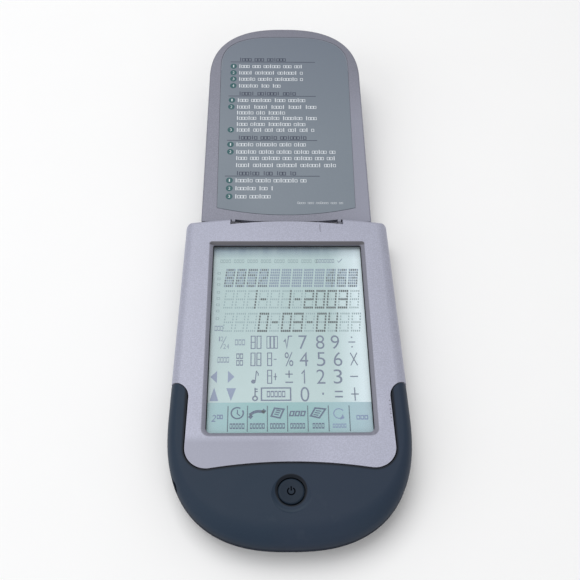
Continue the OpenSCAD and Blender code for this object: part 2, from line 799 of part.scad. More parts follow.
module crystal_can() {
    color(steel)
        union() {
            translate([19, screen_cy - 10, board_top + 1.2])
                rotate([-90, 0, 0])
                    cylinder(h = 6, r = 1.1);
            for (x = [18.6, 19.2])
                box(x, x + 0.25, screen_cy - 12, screen_cy - 9.9, board_top + 0.6, board_top + 0.85);
        }
}
module chip_capacitors() {
    color([0.62, 0.52, 0.36])
        for (i = [0:5])
            box(-20 + i * 4, -18 + i * 4, screen_cy - 22, screen_cy - 20.8, board_top + 0.01,
                board_top + 1);
}
module reset_switch() {
    color(rubber_black)
        union() {
            box(reset_x - 2, reset_x + 2, reset_y - 2, reset_y + 2, board_z - reset_case_h, board_z - 0.01);
            post([reset_x, reset_y], board_z - reset_case_h - 0.3, board_z - 0.1, 1);
        }
}
module reset_key() {
    color(navy)
        union() {
            post([reset_x, reset_y], 0.4, floor_t + 0.9, reset_r);
            post([reset_x, reset_y], floor_t + 0.3, floor_t + 0.9, reset_r + 0.9);
            post([reset_x, reset_y], floor_t + 0.8, board_z - reset_case_h - 0.4 - reset_travel,
                reset_r - 0.2);
        }
}
module power_button() {
    color([0.20, 0.24, 0.31])
        difference() {
            union() {
                post([0, button_y], flange_top - 0.1, face_z - 0.45, button_r);
                translate([0, button_y, face_z - 0.46])
                    cylinder(h = 0.35, r1 = button_r, r2 = button_r - 0.35);
                post([0, button_y], flange_top - flange_t, flange_top, flange_r);
                post([0, button_y], board_top + membrane_h + button_travel + 0.2,
                    flange_top - flange_t + 0.1, stem_r);
            }
            translate([0, button_y, face_z - 0.25 + 40])
                sphere(r = 40, $fn = 96);
        }
}
module button_membrane() {
    color(rubber_black)
        union() {
            post([0, button_y], board_top + 0.01, board_top + 0.6, 5.4);
            translate([0, button_y, board_top + 0.5])
                cylinder(h = membrane_h - 0.5, r1 = 3.6, r2 = 2.2);
        }
}
module link_jack() {
    color(rubber_black)
        difference() {
            union() {
                box(jack_x - jack_l, jack_x, jack_y - jack_w / 2, jack_y + jack_w / 2, board_top + 0.02,
                    board_top + jack_h);
                translate([jack_x - jack_l - jack_nose_l, jack_y, jack_z])
                    rotate([0, 90, 0])
                        cylinder(h = jack_nose_l + 0.5, r = jack_nose_r);
            }
            translate([jack_x - jack_l - jack_nose_l - 1, jack_y, jack_z])
                rotate([0, 90, 0])
                    cylinder(h = jack_depth + 1, r = jack_bore_r);
        }
}
module jack_contacts() {
    color(brass)
        for (i = [0:2])
            box(jack_x - 2 - i * 3, jack_x - 1 - i * 3, jack_y + jack_w / 2 + 0.01,
                jack_y + jack_w / 2 + 0.9,
                board_top + 0.01, board_top + 0.4 + i * 0.5);
}
module buzzer_disc() {
    color(brass)
        post([buzzer_x, buzzer_y], buzzer_z + 0.01, buzzer_z + 0.3, buzzer_r);
}
module buzzer_ceramic() {
    color([0.88, 0.87, 0.82])
        post([buzzer_x, buzzer_y], buzzer_z + 0.31, buzzer_z + 0.5, buzzer_r * 0.66);
}
module buzzer_leads() {
    color([0.6, 0.1, 0.08])
        union() {
            post([buzzer_x + 2, buzzer_y], buzzer_z + 0.51, board_z - 0.01, 0.35);
            post([buzzer_x + buzzer_r - 1.5, buzzer_y], buzzer_z + 0.31, board_z - 0.01, 0.35);
        }
}
module coin_cell(x) {
    color(steel)
        union() {
            post([x, cell_y], cell_z, cell_z + cell_t - 0.6, cell_r);
            translate([x, cell_y, cell_z + cell_t - 0.61])
                cylinder(h = 0.31, r1 = cell_r, r2 = cell_r - 0.35);
            post([x, cell_y], cell_z + cell_t - 0.5, cell_z + cell_t, cell_r - 1.5);
        }
}
module coin_cell_left() {
    coin_cell(-cell_x);
}
module coin_cell_right() {
    coin_cell(cell_x);
}
module cell_springs() {
    color(steel)
        for (x = [-1, 1])
            union() {
                box(x * cell_x - 4, x * cell_x + 4, cell_y - 1.2, cell_y + 1.2, board_z - 0.26,
                    board_z - 0.01);
                post([x * cell_x, cell_y], cell_top + 0.01, board_z - 0.2, 0.9);
            }
}
module cell_side_contacts() {
    color(steel)
        for (x = [-1, 1])
            box(x * cell_x - 2.5, x * cell_x + 2.5, cell_y + cell_r + 0.05, cell_y + cell_r + 0.3,
                cell_z + 0.6, board_z - 0.01);
}

// ---------- fasteners ----------
module case_screws() {
    color(steel)
        for (at = case_screw_at)
            difference() {
                union() {
                    post(at, screw_seat_z - screw_head_h, screw_seat_z - 0.01, screw_head_r);
                    post(at, screw_seat_z - 0.5, screw_seat_z + screw_l - 0.2, screw_r - hair);
                }
                box(at[0] - 1.2, at[0] + 1.2, at[1] - 0.25, at[1] + 0.25, 0,
                    screw_seat_z - screw_head_h + 0.6);
                box(at[0] - 0.25, at[0] + 0.25, at[1] - 1.2, at[1] + 1.2, 0,
                    screw_seat_z - screw_head_h + 0.6);
            }
}
module board_screws() {
    color(steel)
        for (at = board_screw_at)
            difference() {
                union() {
                    post(at, board_z - board_head_h, board_z - 0.01, board_head_r);
                    post(at, board_z - 0.5, board_z + board_screw_l, board_screw_r - hair);
                }
                box(at[0] - 1, at[0] + 1, at[1] - 0.2, at[1] + 0.2, 0, board_z - board_head_h + 0.4);
                box(at[0] - 0.2, at[0] + 0.2, at[1] - 1, at[1] + 1, 0, board_z - board_head_h + 0.4);
            }
}

// ---------- stylus ----------
module stylus_barrel() {
    color(navy)
        translate([stylus_x, stylus_end_y, stylus_z])
            rotate([90, 0, 0])
                difference() {
                    union() {
                        cylinder(h = head_l, r = head_r);
                        translate([0, 0, head_l - 0.1])
                            cylinder(h = stylus_l - nib_l - head_l + 0.1, r = stylus_r);
                    }
                    translate([0, 0, stylus_l - nib_l - 3])
                        cylinder(h = 4, r = 0.8);
                }
}
module stylus_nib() {
    color([0.85, 0.85, 0.83])
        translate([stylus_x, stylus_end_y - stylus_l + nib_l, stylus_z])
            rotate([90, 0, 0])
                union() {
                    translate([0, 0, -2.8])
                        cylinder(h = 3, r = 0.8 - hair);
                    translate([0, 0, 0.01])
                        cylinder(h = nib_l - 0.5, r1 = stylus_r, r2 = 0.55);
                    translate([0, 0, nib_l - 0.5])
                        sphere(r = 0.5);
                }
}

// ---------- cover ----------
module on_hinge() {
    translate([0, hinge_y, hinge_z])
        rotate([open_rise, 0, 0])
            children();
}
module cover_panel() {
    color(silver)
        on_hinge()
            difference() {
                union() {
                    prism(-cover_face - cover_t, -cover_face, cover_plan());
                    for (side = [-1, 1]) {
                        box(side > 0 ? ear_x0 : -ear_x1, side > 0 ? ear_x1 : -ear_x0, -ear_r,
                            cover_base_t + cover_arch + 1,
                            -cover_face - cover_t, -cover_face);
                        box(side > 0 ? ear_x0 : -ear_x1, side > 0 ? ear_x1 : -ear_x0, -ear_r, ear_r,
                            -cover_face - 0.1, 0);
                        translate([side > 0 ? ear_x0 : -ear_x1, 0, 0])
                            rotate([0, 90, 0])
                                cylinder(h = ear_w, r = ear_r);
                        translate([side * ear_x0, 0, 0])
                            rotate([0, 90 * side, 0])
                                cylinder(h = ear_w + ear_gap + peg_bite, r = peg_r);
                    }
                }
                prism(-cover_face - card_t - 0.02, -cover_face + 1, card_plan(0));
            }
}
module label_card() {
    color([0.46, 0.50, 0.55])
        on_hinge()
            prism(-cover_face - card_t, -cover_face - 0.02, card_plan(card_gap));
}

front_case();
grip_cover();
rear_case();
screen_gasket();
touch_panel();
function_strip();
lcd_front_glass();
lcd_rear_glass();
lcd_reflector();
lcd_frame();
zebra_strip_top();
zebra_strip_bottom();
touch_tail();
tail_connector();
main_board();
processor_blob();
memory_chip();
crystal_can();
chip_capacitors();
reset_switch();
reset_key();
power_button();
button_membrane();
link_jack();
jack_contacts();
buzzer_disc();
buzzer_ceramic();
buzzer_leads();
coin_cell_left();
coin_cell_right();
cell_springs();
cell_side_contacts();
battery_door();
door_screw();
case_screws();
board_screws();
stylus_barrel();
stylus_nib();
cover_panel();
label_card();
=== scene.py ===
import math

import bmesh
import bpy
from mathutils import Matrix, Vector


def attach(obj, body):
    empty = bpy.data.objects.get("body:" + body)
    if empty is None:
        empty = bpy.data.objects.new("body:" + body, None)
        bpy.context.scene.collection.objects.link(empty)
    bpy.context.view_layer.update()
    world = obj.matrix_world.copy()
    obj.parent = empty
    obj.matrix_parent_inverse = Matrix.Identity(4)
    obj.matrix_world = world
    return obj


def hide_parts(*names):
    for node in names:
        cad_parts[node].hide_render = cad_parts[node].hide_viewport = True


MM = 0.001
MERGE = 1e-6

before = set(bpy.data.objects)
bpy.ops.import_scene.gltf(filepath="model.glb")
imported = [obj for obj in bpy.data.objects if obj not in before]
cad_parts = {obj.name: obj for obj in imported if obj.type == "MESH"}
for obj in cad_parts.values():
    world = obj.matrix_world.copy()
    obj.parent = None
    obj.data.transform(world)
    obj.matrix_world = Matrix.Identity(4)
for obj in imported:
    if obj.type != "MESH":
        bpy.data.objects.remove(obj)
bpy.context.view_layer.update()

# The organiser's own sizes, in millimetres
END_Y = 61.2
HALF_W = 39.35
CASE_HALF = 39.1
END_TAPER = 1.8
END_ARC = 225
APEX_Y = END_Y + END_ARC - math.sqrt(END_ARC**2 - 21**2)
CORNER = 1.9
ROUND_L = 40.7
ROUND_Y = -END_Y + ROUND_L
ROUND_POWER = 2.5
FACE_Z = 14
PARTING_Z = 6.5
SKIRT_Z = 8.6
CEILING_Z = 12.7
FLOOR_T = 1.6
WALL = 2
HINGE_WALL = 4.8
SCREEN_HALF = 27
SCREEN_Y0, SCREEN_Y1 = -25.5, 49.0
ARM_Y = -7.5
CHIN_Y = -35.4
CHIN_R = 158
CHIN_CY = CHIN_Y - CHIN_R
FILLET_R = 7
FILLET_X = HALF_W - 6.1 - FILLET_R
FILLET_Y = CHIN_CY + math.sqrt((CHIN_R + FILLET_R) ** 2 - FILLET_X**2)
ARM_TIP_R = 5.4
BUTTON_Y = -44.9
BUTTON_HOLE_R = 4.4
BUZZER_X, BUZZER_Y = -12, 29.75
DOOR_Z = 1.22
STYLUS_X, STYLUS_Z = 33.0, 3.9
LCD_Z = 11.285
HINGE_Y, HINGE_Z = 59.5, 12.1
OPEN_RISE = 8
COVER_FACE = 2.2
COVER_T = 2
COVER_REACH = 97.8
CARD_TIP_GAP = 4.4
CARD_TOP = -COVER_FACE - 0.02


# ---------- outlines, in millimetres ----------
def arc(cx, cy, r, a0, a1, n):
    turns = [math.radians(a0 + (a1 - a0) * i / n) for i in range(n + 1)]
    return [(cx + r * math.cos(a), cy + r * math.sin(a)) for a in turns]


def circle(y, r):
    return arc(0, y, r, 0, 355, 71)


def both_sides(points):
    return points + [(-x, y) for x, y in reversed(points)]


def rounded(a, b, cy, way, power, turns):
    out = []
    for turn in turns:
        c, s = math.cos(math.radians(turn)), math.sin(math.radians(turn))
        out.append((a * max(c, 0) ** (2 / power), cy + way * b * max(s, 0) ** (2 / power)))
    return out


def roll(z, top, width, height):
    """How far in a rounded edge has come at height z, where it ends at top."""
    u = max(0.0, min(1.0, (z - (top - height)) / height))
    return width * (1 - math.sqrt(1 - u * u))


def body_outline(half, side_in, grip_in, hinge_in):
    corner = max(0.4, CORNER - side_in)
    big_r, big_y = END_ARC - hinge_in, APEX_Y - END_ARC
    fx = half - END_TAPER - side_in - corner
    fy = big_y + math.sqrt((big_r - corner) ** 2 - fx * fx)
    meet = math.degrees(math.atan2(fy - big_y, fx))
    turns = [89 - 89 * (i / 56) ** 1.15 for i in range(57)]
    end = rounded(half - side_in, ROUND_L - grip_in, ROUND_Y, -1, ROUND_POWER, turns)
    top_x = half - END_TAPER - side_in
    side = []
    for i in range(1, 12):
        k = i / 12
        side.append((end[-1][0] + (top_x - end[-1][0]) * k, end[-1][1] + (fy - end[-1][1]) * k))
    return both_sides(end + side + arc(fx, fy, corner, 0, meet, 10) + arc(0, big_y, big_r, meet + 0.35, 89.7, 26))


def tongue_plan(grow):
    """The part of the plan that belongs to the front case."""
    turn = math.degrees(math.atan2(CHIN_CY - FILLET_Y, -FILLET_X))
    tip_x = HALF_W - 6.5 + ARM_TIP_R
    return both_sides(
        arc(0, CHIN_CY, CHIN_R - grow, 89.8, 180 + turn, 30)
        + arc(FILLET_X, FILLET_Y, FILLET_R + grow, turn, 0, 26)
        + arc(tip_x, ARM_Y - ARM_TIP_R, ARM_TIP_R - grow, 180, 90, 22)
        + [(HALF_W + 10, ARM_Y), (HALF_W + 10, END_Y + 10)]
    )


def window_plan(grow):
    low, high = 2 + grow * 0.5, 0.6 + grow * 0.3
    hx, y0, y1 = SCREEN_HALF + grow, SCREEN_Y0 - grow, SCREEN_Y1 + grow
    return both_sides(arc(hx - low, y0 + low, low, 270, 360, 10) + arc(hx - high, y1 - high, high, 0, 90, 6))


def cover_plan():
    base = [(19.4 * i / 12, 2.4 + 1.2 * (i / 12) ** 2) for i in range(1, 13)]
    side = [(31 + 1.2 * (1 - k), 3.2 + 67.3 * k) for k in (0.25, 0.5, 0.75)]
    tip = rounded(31, 27.3, COVER_REACH - 27.3, 1, ROUND_POWER, [89 * (i / 44) ** 0.9 for i in range(45)])
    return both_sides(base + [(21.1, 3.6), (21.9, 2.4)] + arc(31.4, 3.2, 0.8, -90, 0, 5) + side + tip)


def card_plan(inset):
    half, round_l, tip_t = 26.5 - inset, 18, COVER_REACH - CARD_TIP_GAP
    base = [(half * i / 14, 5.5 + inset + 3.2 * (i / 14) ** 2) for i in range(1, 15)]
    tip = rounded(half, round_l - inset, tip_t - round_l, 1, 3, [89 * i / 36 for i in range(37)])
    return both_sides(base + [(half, 30), (half, 52)] + tip)


# ---------- modelling ----------
def pick(*pieces):
    bpy.ops.object.select_all(action="DESELECT")
    for piece in pieces:
        piece.select_set(True)
    bpy.context.view_layer.objects.active = pieces[0]


def finish_modifier(piece, kind, **settings):
    modifier = piece.modifiers.new(kind.title(), kind)
    for key, value in settings.items():
        setattr(modifier, key, value)
    pick(piece)
    bpy.ops.object.modifier_apply(modifier=modifier.name)


def fresh(add, **settings):
    """Adds one of Blender's own shapes, with nothing else selected."""
    bpy.ops.object.select_all(action="DESELECT")
    add(**settings)
    return bpy.context.object


def outward(merge=0, fill=False):
    """Merges doubled points and fills open ends where asked, and turns every face outwards."""
    bpy.ops.object.mode_set(mode="EDIT")
    bpy.ops.mesh.select_all(action="SELECT")
    if merge:
        bpy.ops.mesh.remove_doubles(threshold=merge)
    if fill:
        bpy.ops.mesh.select_all(action="SELECT")
        bpy.ops.mesh.fill_holes(sides=0)
    bpy.ops.mesh.select_all(action="SELECT")
    bpy.ops.mesh.normals_make_consistent(inside=False)
    bpy.ops.object.mode_set(mode="OBJECT")


def settle(piece):
    """Puts the piece's place in its mesh."""
    pick(piece)
    bpy.ops.object.transform_apply(location=True, rotation=True, scale=True)
    return piece


def new_piece(name):
    piece = bpy.context.object
    piece.name = name
    piece.data.name = name
    return piece


def lofted(name, rings):
    """A closed shell through rings of points, from the bottom up: a grid is wrapped round and its ends are filled."""
    around = len(rings[0][1])
    fresh(bpy.ops.mesh.primitive_grid_add, x_subdivisions=around, y_subdivisions=len(rings) - 1, size=1)
    piece = new_piece(name)
    for vertex in piece.data.vertices:
        z, ring = rings[vertex.index // (around + 1)]
        x, y = ring[vertex.index % (around + 1) % around]
        vertex.co = (x * MM, y * MM, z * MM)
    outward(MERGE, fill=True)
    return piece


def plate(name, points, z0, z1):
    """A flat plate of the given outline: a filled circle is drawn out to it and extruded."""
    fresh(bpy.ops.mesh.primitive_circle_add, vertices=len(points), radius=1, fill_type="NGON")
    piece = new_piece(name)
    for vertex, (x, y) in zip(piece.data.vertices, points):
        vertex.co = (x * MM, y * MM, z0 * MM)
    bpy.ops.object.mode_set(mode="EDIT")
    bpy.ops.mesh.select_all(action="SELECT")
    bpy.ops.mesh.extrude_region_move(TRANSFORM_OT_translate={"value": (0, 0, (z1 - z0) * MM)})
    outward()
    return piece


def post(x, y, z0, z1, r, sides=48):
    middle = Vector((x, y, (z0 + z1) / 2)) * MM
    add = bpy.ops.mesh.primitive_cylinder_add
    return settle(fresh(add, vertices=sides, radius=r * MM, depth=(z1 - z0) * MM, location=middle))


def rod(start, end, r, sides=48):
    """A round bar between two points."""
    a, b = Vector(start) * MM, Vector(end) * MM
    add = bpy.ops.mesh.primitive_cylinder_add
    bar = fresh(add, vertices=sides, radius=r * MM, depth=(b - a).length, location=(a + b) / 2)
    bar.rotation_euler = (b - a).to_track_quat("Z", "Y").to_euler()
    return settle(bar)


def block(x0, x1, y0, y1, z0, z1):
    middle = Vector((x0 + x1, y0 + y1, z0 + z1)) / 2 * MM
    cube = fresh(bpy.ops.mesh.primitive_cube_add, size=1, location=middle)
    cube.scale = ((x1 - x0) * MM, (y1 - y0) * MM, (z1 - z0) * MM)
    return settle(cube)


def combine(piece, tool, operation="DIFFERENCE"):
    """Cuts, joins or trims the piece with a tool, which is used up."""
    finish_modifier(piece, "BOOLEAN", object=tool, operation=operation, solver="EXACT")
    bpy.data.objects.remove(tool)


def soften(piece, width, where=None, sharper_than=35, segments=3):
    """Rounds the sharp edges whose middle is where the test says."""
    pick(piece)
    bpy.ops.object.mode_set(mode="EDIT")
    bpy.ops.mesh.select_mode(type="EDGE")
    bpy.ops.mesh.select_all(action="SELECT")
    bpy.ops.mesh.remove_doubles(threshold=0.00002)
    bpy.ops.mesh.dissolve_degenerate(threshold=0.00002)
    bpy.ops.mesh.select_all(action="DESELECT")
    work = bmesh.from_edit_mesh(piece.data)
    limit = math.radians(sharper_than)
    chosen = 0
    for edge in work.edges:
        middle = (edge.verts[0].co + edge.verts[1].co) / 2 / MM
        sharp = len(edge.link_faces) == 2 and edge.calc_face_angle(0) > limit
        if sharp and (where is None or where(middle)):
            edge.select_set(True)
            chosen += 1
    bmesh.update_edit_mesh(piece.data)
    if chosen:
        bpy.ops.mesh.bevel(offset=width * MM, segments=segments, affect="EDGES", clamp_overlap=True)
    bpy.ops.mesh.select_all(action="DESELECT")
    bpy.ops.mesh.select_mode(type="VERT")
    bpy.ops.object.mode_set(mode="OBJECT")


def smooth(piece, angle=32):
    pick(piece)
    bpy.ops.object.shade_smooth_by_angle(angle=math.radians(angle))
    finish_modifier(piece, "WEIGHTED_NORMAL", keep_sharp=True, weight=80)
    return piece


def copies(name, model, places, z):
    """One piece from copies of a model, each at (x, y, width, height)."""
    made = []
    for x, y, wide, high in places:
        one = model.copy()
        one.data = model.data.copy()
        one.matrix_world = Matrix.Translation((x * MM, y * MM, z * MM)) @ Matrix.Diagonal((wide, high, 1, 1))
        bpy.context.scene.collection.objects.link(one)
        made.append(one)
    bpy.context.view_layer.update()
    pick(*made)
    bpy.ops.object.join()
    return settle(new_piece(name))


def joined(name, parts):
    pick(*parts)
    if len(parts) > 1:
        bpy.ops.object.join()
    return settle(new_piece(name))


def sweep(points, width, z0, z1, closed=False):
    """A flat band along a path: a grid is rolled up round it. A closed band meets itself, an open one gets ends."""
    n = len(points)
    columns = n + 1 if closed else n
    band = fresh(bpy.ops.mesh.primitive_grid_add, x_subdivisions=columns - 1, y_subdivisions=4, size=1)
    for vertex in band.data.vertices:
        i, corner = vertex.index % columns % n, vertex.index // columns % 4
        here = Vector(points[i])
        come = here - Vector(points[i - 1]) if closed or i > 0 else Vector(points[1]) - here
        go = Vector(points[(i + 1) % n]) - here if closed or i < n - 1 else come
        come, go = come.normalized(), go.normalized()
        side = Vector((-come.y - go.y, come.x + go.x)).normalized()
        reach = width / 2 / max(0.4, side.dot(Vector((-come.y, come.x))))
        spot = here + side * (-reach if corner in (0, 3) else reach)
        vertex.co = (spot.x * MM, spot.y * MM, (z0 if corner < 2 else z1) * MM)
    outward(MERGE, fill=not closed)
    return band


def figure(character, x, y, wide, high, z0, z1, thin=0.0, lean=0.0):
    """One numeral or sign from the built-in font, drawn out to the given size."""
    one = fresh(bpy.ops.object.text_add, location=(0, 0, 0))
    one.data.body, one.data.size, one.data.extrude = character, 1, 0.1
    one.data.offset, one.data.shear, one.data.resolution_u = -thin, lean, 5
    bpy.ops.object.convert(target="MESH")
    one = bpy.context.object
    outward(10 * MERGE)
    low = [min(v.co[i] for v in one.data.vertices) for i in range(3)]
    top = [max(v.co[i] for v in one.data.vertices) for i in range(3)]
    size = (wide, high, z1 - z0)
    centre = (x, y, (z0 + z1) / 2)
    one.scale = [s * MM / (b - a) for s, a, b in zip(size, low, top)]
    one.location = [c * MM - (a + b) / 2 * s for c, a, b, s in zip(centre, low, top, one.scale)]
    return settle(one)


def frame_shape(wide, high, stroke, thick):
    """A hollow box centred on the origin, the plain stand-in for a letter."""
    corners = [(-wide / 2, -high / 2), (wide / 2, -high / 2), (wide / 2, high / 2), (-wide / 2, high / 2)]
    return sweep(corners, stroke, 0, thick, closed=True)


def tile(x, y, wide, high, z0, z1):
    return block(x - wide / 2, x + wide / 2, y - high / 2, y + high / 2, z0, z1)


def lettering(name, lines, letter, z, stem=None):
    """Rows of plain boxes in place of words: each line is (x start, x end, y, letter pitch)."""
    spots, stems = [], []
    for row, (x0, x1, y, pitch) in enumerate(lines):
        x, count, word = x0 + pitch / 2, 0, 4 + (row * 5) % 4
        while x < x1 - pitch * 0.4:
            if count == word:
                count, word = 0, 3 + (word * 3 + row) % 6
            else:
                tall = (count * 7 + row * 3 + word) % 4 == 0
                if stem and tall:
                    stems.append((x, y, 1, 1))
                else:
                    spots.append((x, y - (0 if tall else 0.12) * pitch, pitch * 0.8, 1 if tall else 0.8))
                count += 1
            x += pitch
    parts = [copies(name + "_boxes", letter, spots, z)]
    if stems:
        parts.append(copies(name + "_stems", stem, stems, z))
    return joined(name, parts)


def on_hinge(piece):
    """From the cover's own frame (x, distance from the hinge, height) to its open place."""
    piece.matrix_world = (
        Matrix.Translation((0, HINGE_Y * MM, HINGE_Z * MM)) @ Matrix.Rotation(math.radians(OPEN_RISE), 4, "X")
    ) @ piece.matrix_world
    bpy.context.view_layer.update()
    return settle(piece)


def remove(*pieces):
    for piece in pieces:
        bpy.data.objects.remove(piece)


# ---------- finishes ----------
class Wire:
    """One output of a node, with the sums that are used on it."""

    def __init__(self, finish, socket):
        self.finish, self.socket = finish, socket

    def sum(self, operation, first, second=0.0):
        return self.finish.node("ShaderNodeMath", {"operation": operation}, {0: first, 1: second})

    def __add__(self, other):
        return self.sum("ADD", self, other)

    __radd__ = __add__

    def __sub__(self, other):
        return self.sum("SUBTRACT", self, other)

    def __rsub__(self, other):
        return self.sum("SUBTRACT", other, self)

    def __mul__(self, other):
        return self.sum("MULTIPLY", self, other)

    __rmul__ = __mul__

    def __abs__(self):
        return self.sum("ABSOLUTE", self)

    def root(self):
        return self.sum("SQRT", self)

    def above(self, limit):
        return self.sum("GREATER_THAN", self, limit)

    def below(self, limit):
        return self.sum("LESS_THAN", self, limit)

    def between(self, low, high):
        """0 at low and 1 at high, held at both ends."""
        return self.finish.node(
            "ShaderNodeMapRange", {"clamp": True}, {"Value": self, "From Min": low, "From Max": high}
        )

    def wave(self):
        return self.sum("SINE", self)


class Finish:
    """A procedural material on the piece's own coordinates, in metres."""

    def __init__(self, name, color, roughness, **fixed):
        self.material = bpy.data.materials.new(name)
        self.material.use_nodes = True
        self.nodes, self.links = self.material.node_tree.nodes, self.material.node_tree.links
        self.shader = self.nodes["Principled BSDF"]
        self.shader.inputs["Base Color"].default_value = (*color, 1)
        self.shader.inputs["Roughness"].default_value = roughness
        for key, value in fixed.items():
            self.shader.inputs[key.replace("_", " ")].default_value = value
        self.material.diffuse_color = (*color, 1)
        self.place = self.node("ShaderNodeTexCoord", output="Object")
        parts = self.nodes.new("ShaderNodeSeparateXYZ")
        self.links.new(self.place.socket, parts.inputs[0])
        self.x, self.y, self.z = (Wire(self, parts.outputs[i]) for i in range(3))

    def node(self, kind, settings=None, values=None, output=0):
        made = self.nodes.new(kind)
        for key, value in (settings or {}).items():
            setattr(made, key, value)
        for key, value in (values or {}).items():
            socket = made.inputs[key]
            if isinstance(value, Wire):
                self.links.new(value.socket, socket)
            else:
                socket.default_value = value
        return Wire(self, made.outputs[output])

    def noise(self, scale, detail, stretch=None):
        place = self.place
        if stretch:
            place = self.node("ShaderNodeMapping", None, {"Vector": place, "Scale": stretch})
        return self.node("ShaderNodeTexNoise", None, {"Vector": place, "Scale": scale, "Detail": detail})

    def blend(self, factor, first, second):
        first, second = (color if isinstance(color, Wire) else (*color, 1) for color in (first, second))
        return self.node("ShaderNodeMix", {"data_type": "RGBA"}, {0: factor, 6: first, 7: second}, 2)

    def over(self, amount, color):
        """Lays a colour over what is there."""
        self.tint = self.blend(amount, self.tint, color)

    def feed(self, name, wire):
        self.links.new(wire.socket, self.shader.inputs[name])

    def bump(self, height, depth, strength):
        values = {"Strength": strength, "Distance": depth, "Height": height}
        self.feed("Normal", self.node("ShaderNodeBump", None, values))


def length(x, y):
    """How long a step of x and y is."""
    return (x * x + y * y).root()


def shade(color, by):
    return tuple(max(0.0, min(1.0, c * by)) for c in color)


def mottled(name, color, roughness, grain=6000, spread=0.12, clouds=90, depth=0.00001, **fixed):
    """A moulded or coated surface: fine grain in its colour and height, and slow clouds in its gloss."""
    coat = Finish(name, color, roughness, **fixed)
    fine = coat.noise(grain, 3)
    slow = coat.noise(clouds, 4)
    coat.tint = coat.blend(fine, shade(color, 1 - spread), shade(color, 1 + spread))
    coat.feed("Base Color", coat.blend(slow * 0.5, coat.tint, shade(color, 1 - spread / 2)))
    coat.feed("Roughness", slow * 0.16 + (roughness - 0.08))
    coat.bump(fine, depth, 0.5)
    return coat.material


def silver_paint(name, color, body=False):
    coat = Finish(name, color, 0.42, Metallic=0.2)
    x, y, z = coat.x, coat.y, coat.z
    flakes = coat.noise(7000, 2)
    drift = coat.noise(2300, 3)
    clouds = coat.noise(45, 3)
    coat.tint = coat.blend(flakes.between(0.32, 0.68), shade(color, 0.86), shade(color, 1.14))
    coat.over(drift.between(0.56, 0.38) * 0.3, shade(color, 0.66))
    coat.over(drift.between(0.50, 0.66) * 0.3, shade(color, 1.36))
    coat.over(clouds.between(0.35, 0.7) * 0.2, shade(color, 1.1))
    if body:
        # painted shade on the bezel slope round the window, darker still on the right side, where the light does not
        # fall
        bezel_shade = z.between(0.01398, 0.01385) * abs(x).below(0.0287)
        bezel_shade = bezel_shade * y.below(0.0508) * y.above(-0.0273)
        coat.over(bezel_shade * 0.6, (0.10, 0.10, 0.125))
        coat.over(bezel_shade * x.above(0.0268) * 0.35, (0.08, 0.08, 0.10))
        # painted shade on the face below the screen, towards the left
        shaded = y.between(-0.0262, -0.0290) * x.between(0.012, -0.006)
        coat.over(shaded * 0.8, shade(color, 0.72))
        # painted shade, nearly black, on the top wall of the window
        top_wall_shade = bezel_shade * y.between(0.0489, 0.0492)
        coat.over(top_wall_shade * 0.9, (0.060, 0.056, 0.064))
        scratch = abs(x - 0.0123).below(0.00011) * y.above(0.0546) * y.below(0.0583)
        line = abs(x - 0.0325).below(0.00022) * abs(y + 0.0178).below(0.0042)
        specks = line * ((y * 4200).wave() + (y * 9700).wave()).above(0.35)
        coat.over(scratch * 0.9 + specks * 0.75, (0.10, 0.095, 0.12))
    else:
        # painted shadow: a dark band along the cover's base, next to the body's top edge
        coat.over(y.below(0.06265) * 0.8, (0.035, 0.035, 0.045))
        coat.over(y.between(0.110, 0.156) * 0.4, shade(color, 0.72))
        # painted highlight on the right part of the cover
        lit = x.between(0.012, 0.030) * y.between(0.135, 0.110)
        coat.over(lit * 0.7, shade(color, 1.35))
    coat.feed("Base Color", coat.tint)
    coat.feed("Roughness", flakes * 0.2 + 0.34)
    coat.bump(flakes, 0.000006, 0.4)
    return coat.material


def soft_navy():
    color = (0.021, 0.036, 0.060)
    coat = Finish("soft_touch_navy", color, 0.5, Specular_IOR_Level=0.17)
    x, y, z = coat.x, coat.y, coat.z
    grain = coat.noise(5200, 3)
    dust = coat.noise(160, 5)
    clouds = coat.noise(28, 3)
    coat.tint = coat.blend(grain, shade(color, 0.86), shade(color, 1.16))
    coat.over(clouds.between(0.4, 0.75) * 0.35, (0.032, 0.038, 0.066))
    coat.over(dust.between(0.62, 0.8) * 0.2, (0.060, 0.075, 0.100))
    # painted shade: darker towards the lower edge of the shell, which faces away from the light; the same mask raises
    # the roughness there
    lower_edge_shade = z.between(0.0110, 0.0065) * z.between(0.0004, 0.0016)
    coat.over(lower_edge_shade * 0.92, (0.003, 0.006, 0.016))
    # painted shadow in the seam below the front case and round the button
    side = abs(x)
    chin = CHIN_R * MM - length(x, y - CHIN_CY * MM)
    corner = length(side - FILLET_X * MM, y - FILLET_Y * MM) - FILLET_R * MM
    low = y.below(FILLET_Y * MM)
    near = low * side.above(0.0255)
    gap = near * corner + (low - near) * chin + (1 - low) * (side - (FILLET_X + FILLET_R) * MM)
    seam = gap.between(0.0011, 0.0004) * z.above(0.0115)
    ring = length(x, y - BUTTON_Y * MM)
    above = length(x, y - (BUTTON_Y + 0.5) * MM)
    button_gap_shadow = seam.sum("MAXIMUM", ring.between(0.0050, 0.0045), above.between(0.0051, 0.0048))
    seam = seam.sum("MAXIMUM", seam, button_gap_shadow * z.above(0.0115))
    coat.over(seam * 0.85, (0.004, 0.005, 0.008))
    # painted highlight along the lower lip of the dish round the button
    lip_highlight = abs(ring - 0.0062).between(0.0007, 0.0001) * y.between(-0.0462, -0.0505) * z.above(0.0115)
    coat.over(lip_highlight * 0.5, (0.055, 0.075, 0.100))
    coat.feed("Base Color", coat.tint)
    coat.feed("Roughness", grain * 0.12 + dust * 0.1 + lower_edge_shade * 0.35 + 0.40)
    coat.bump(grain, 0.00002, 0.5)
    return coat.material


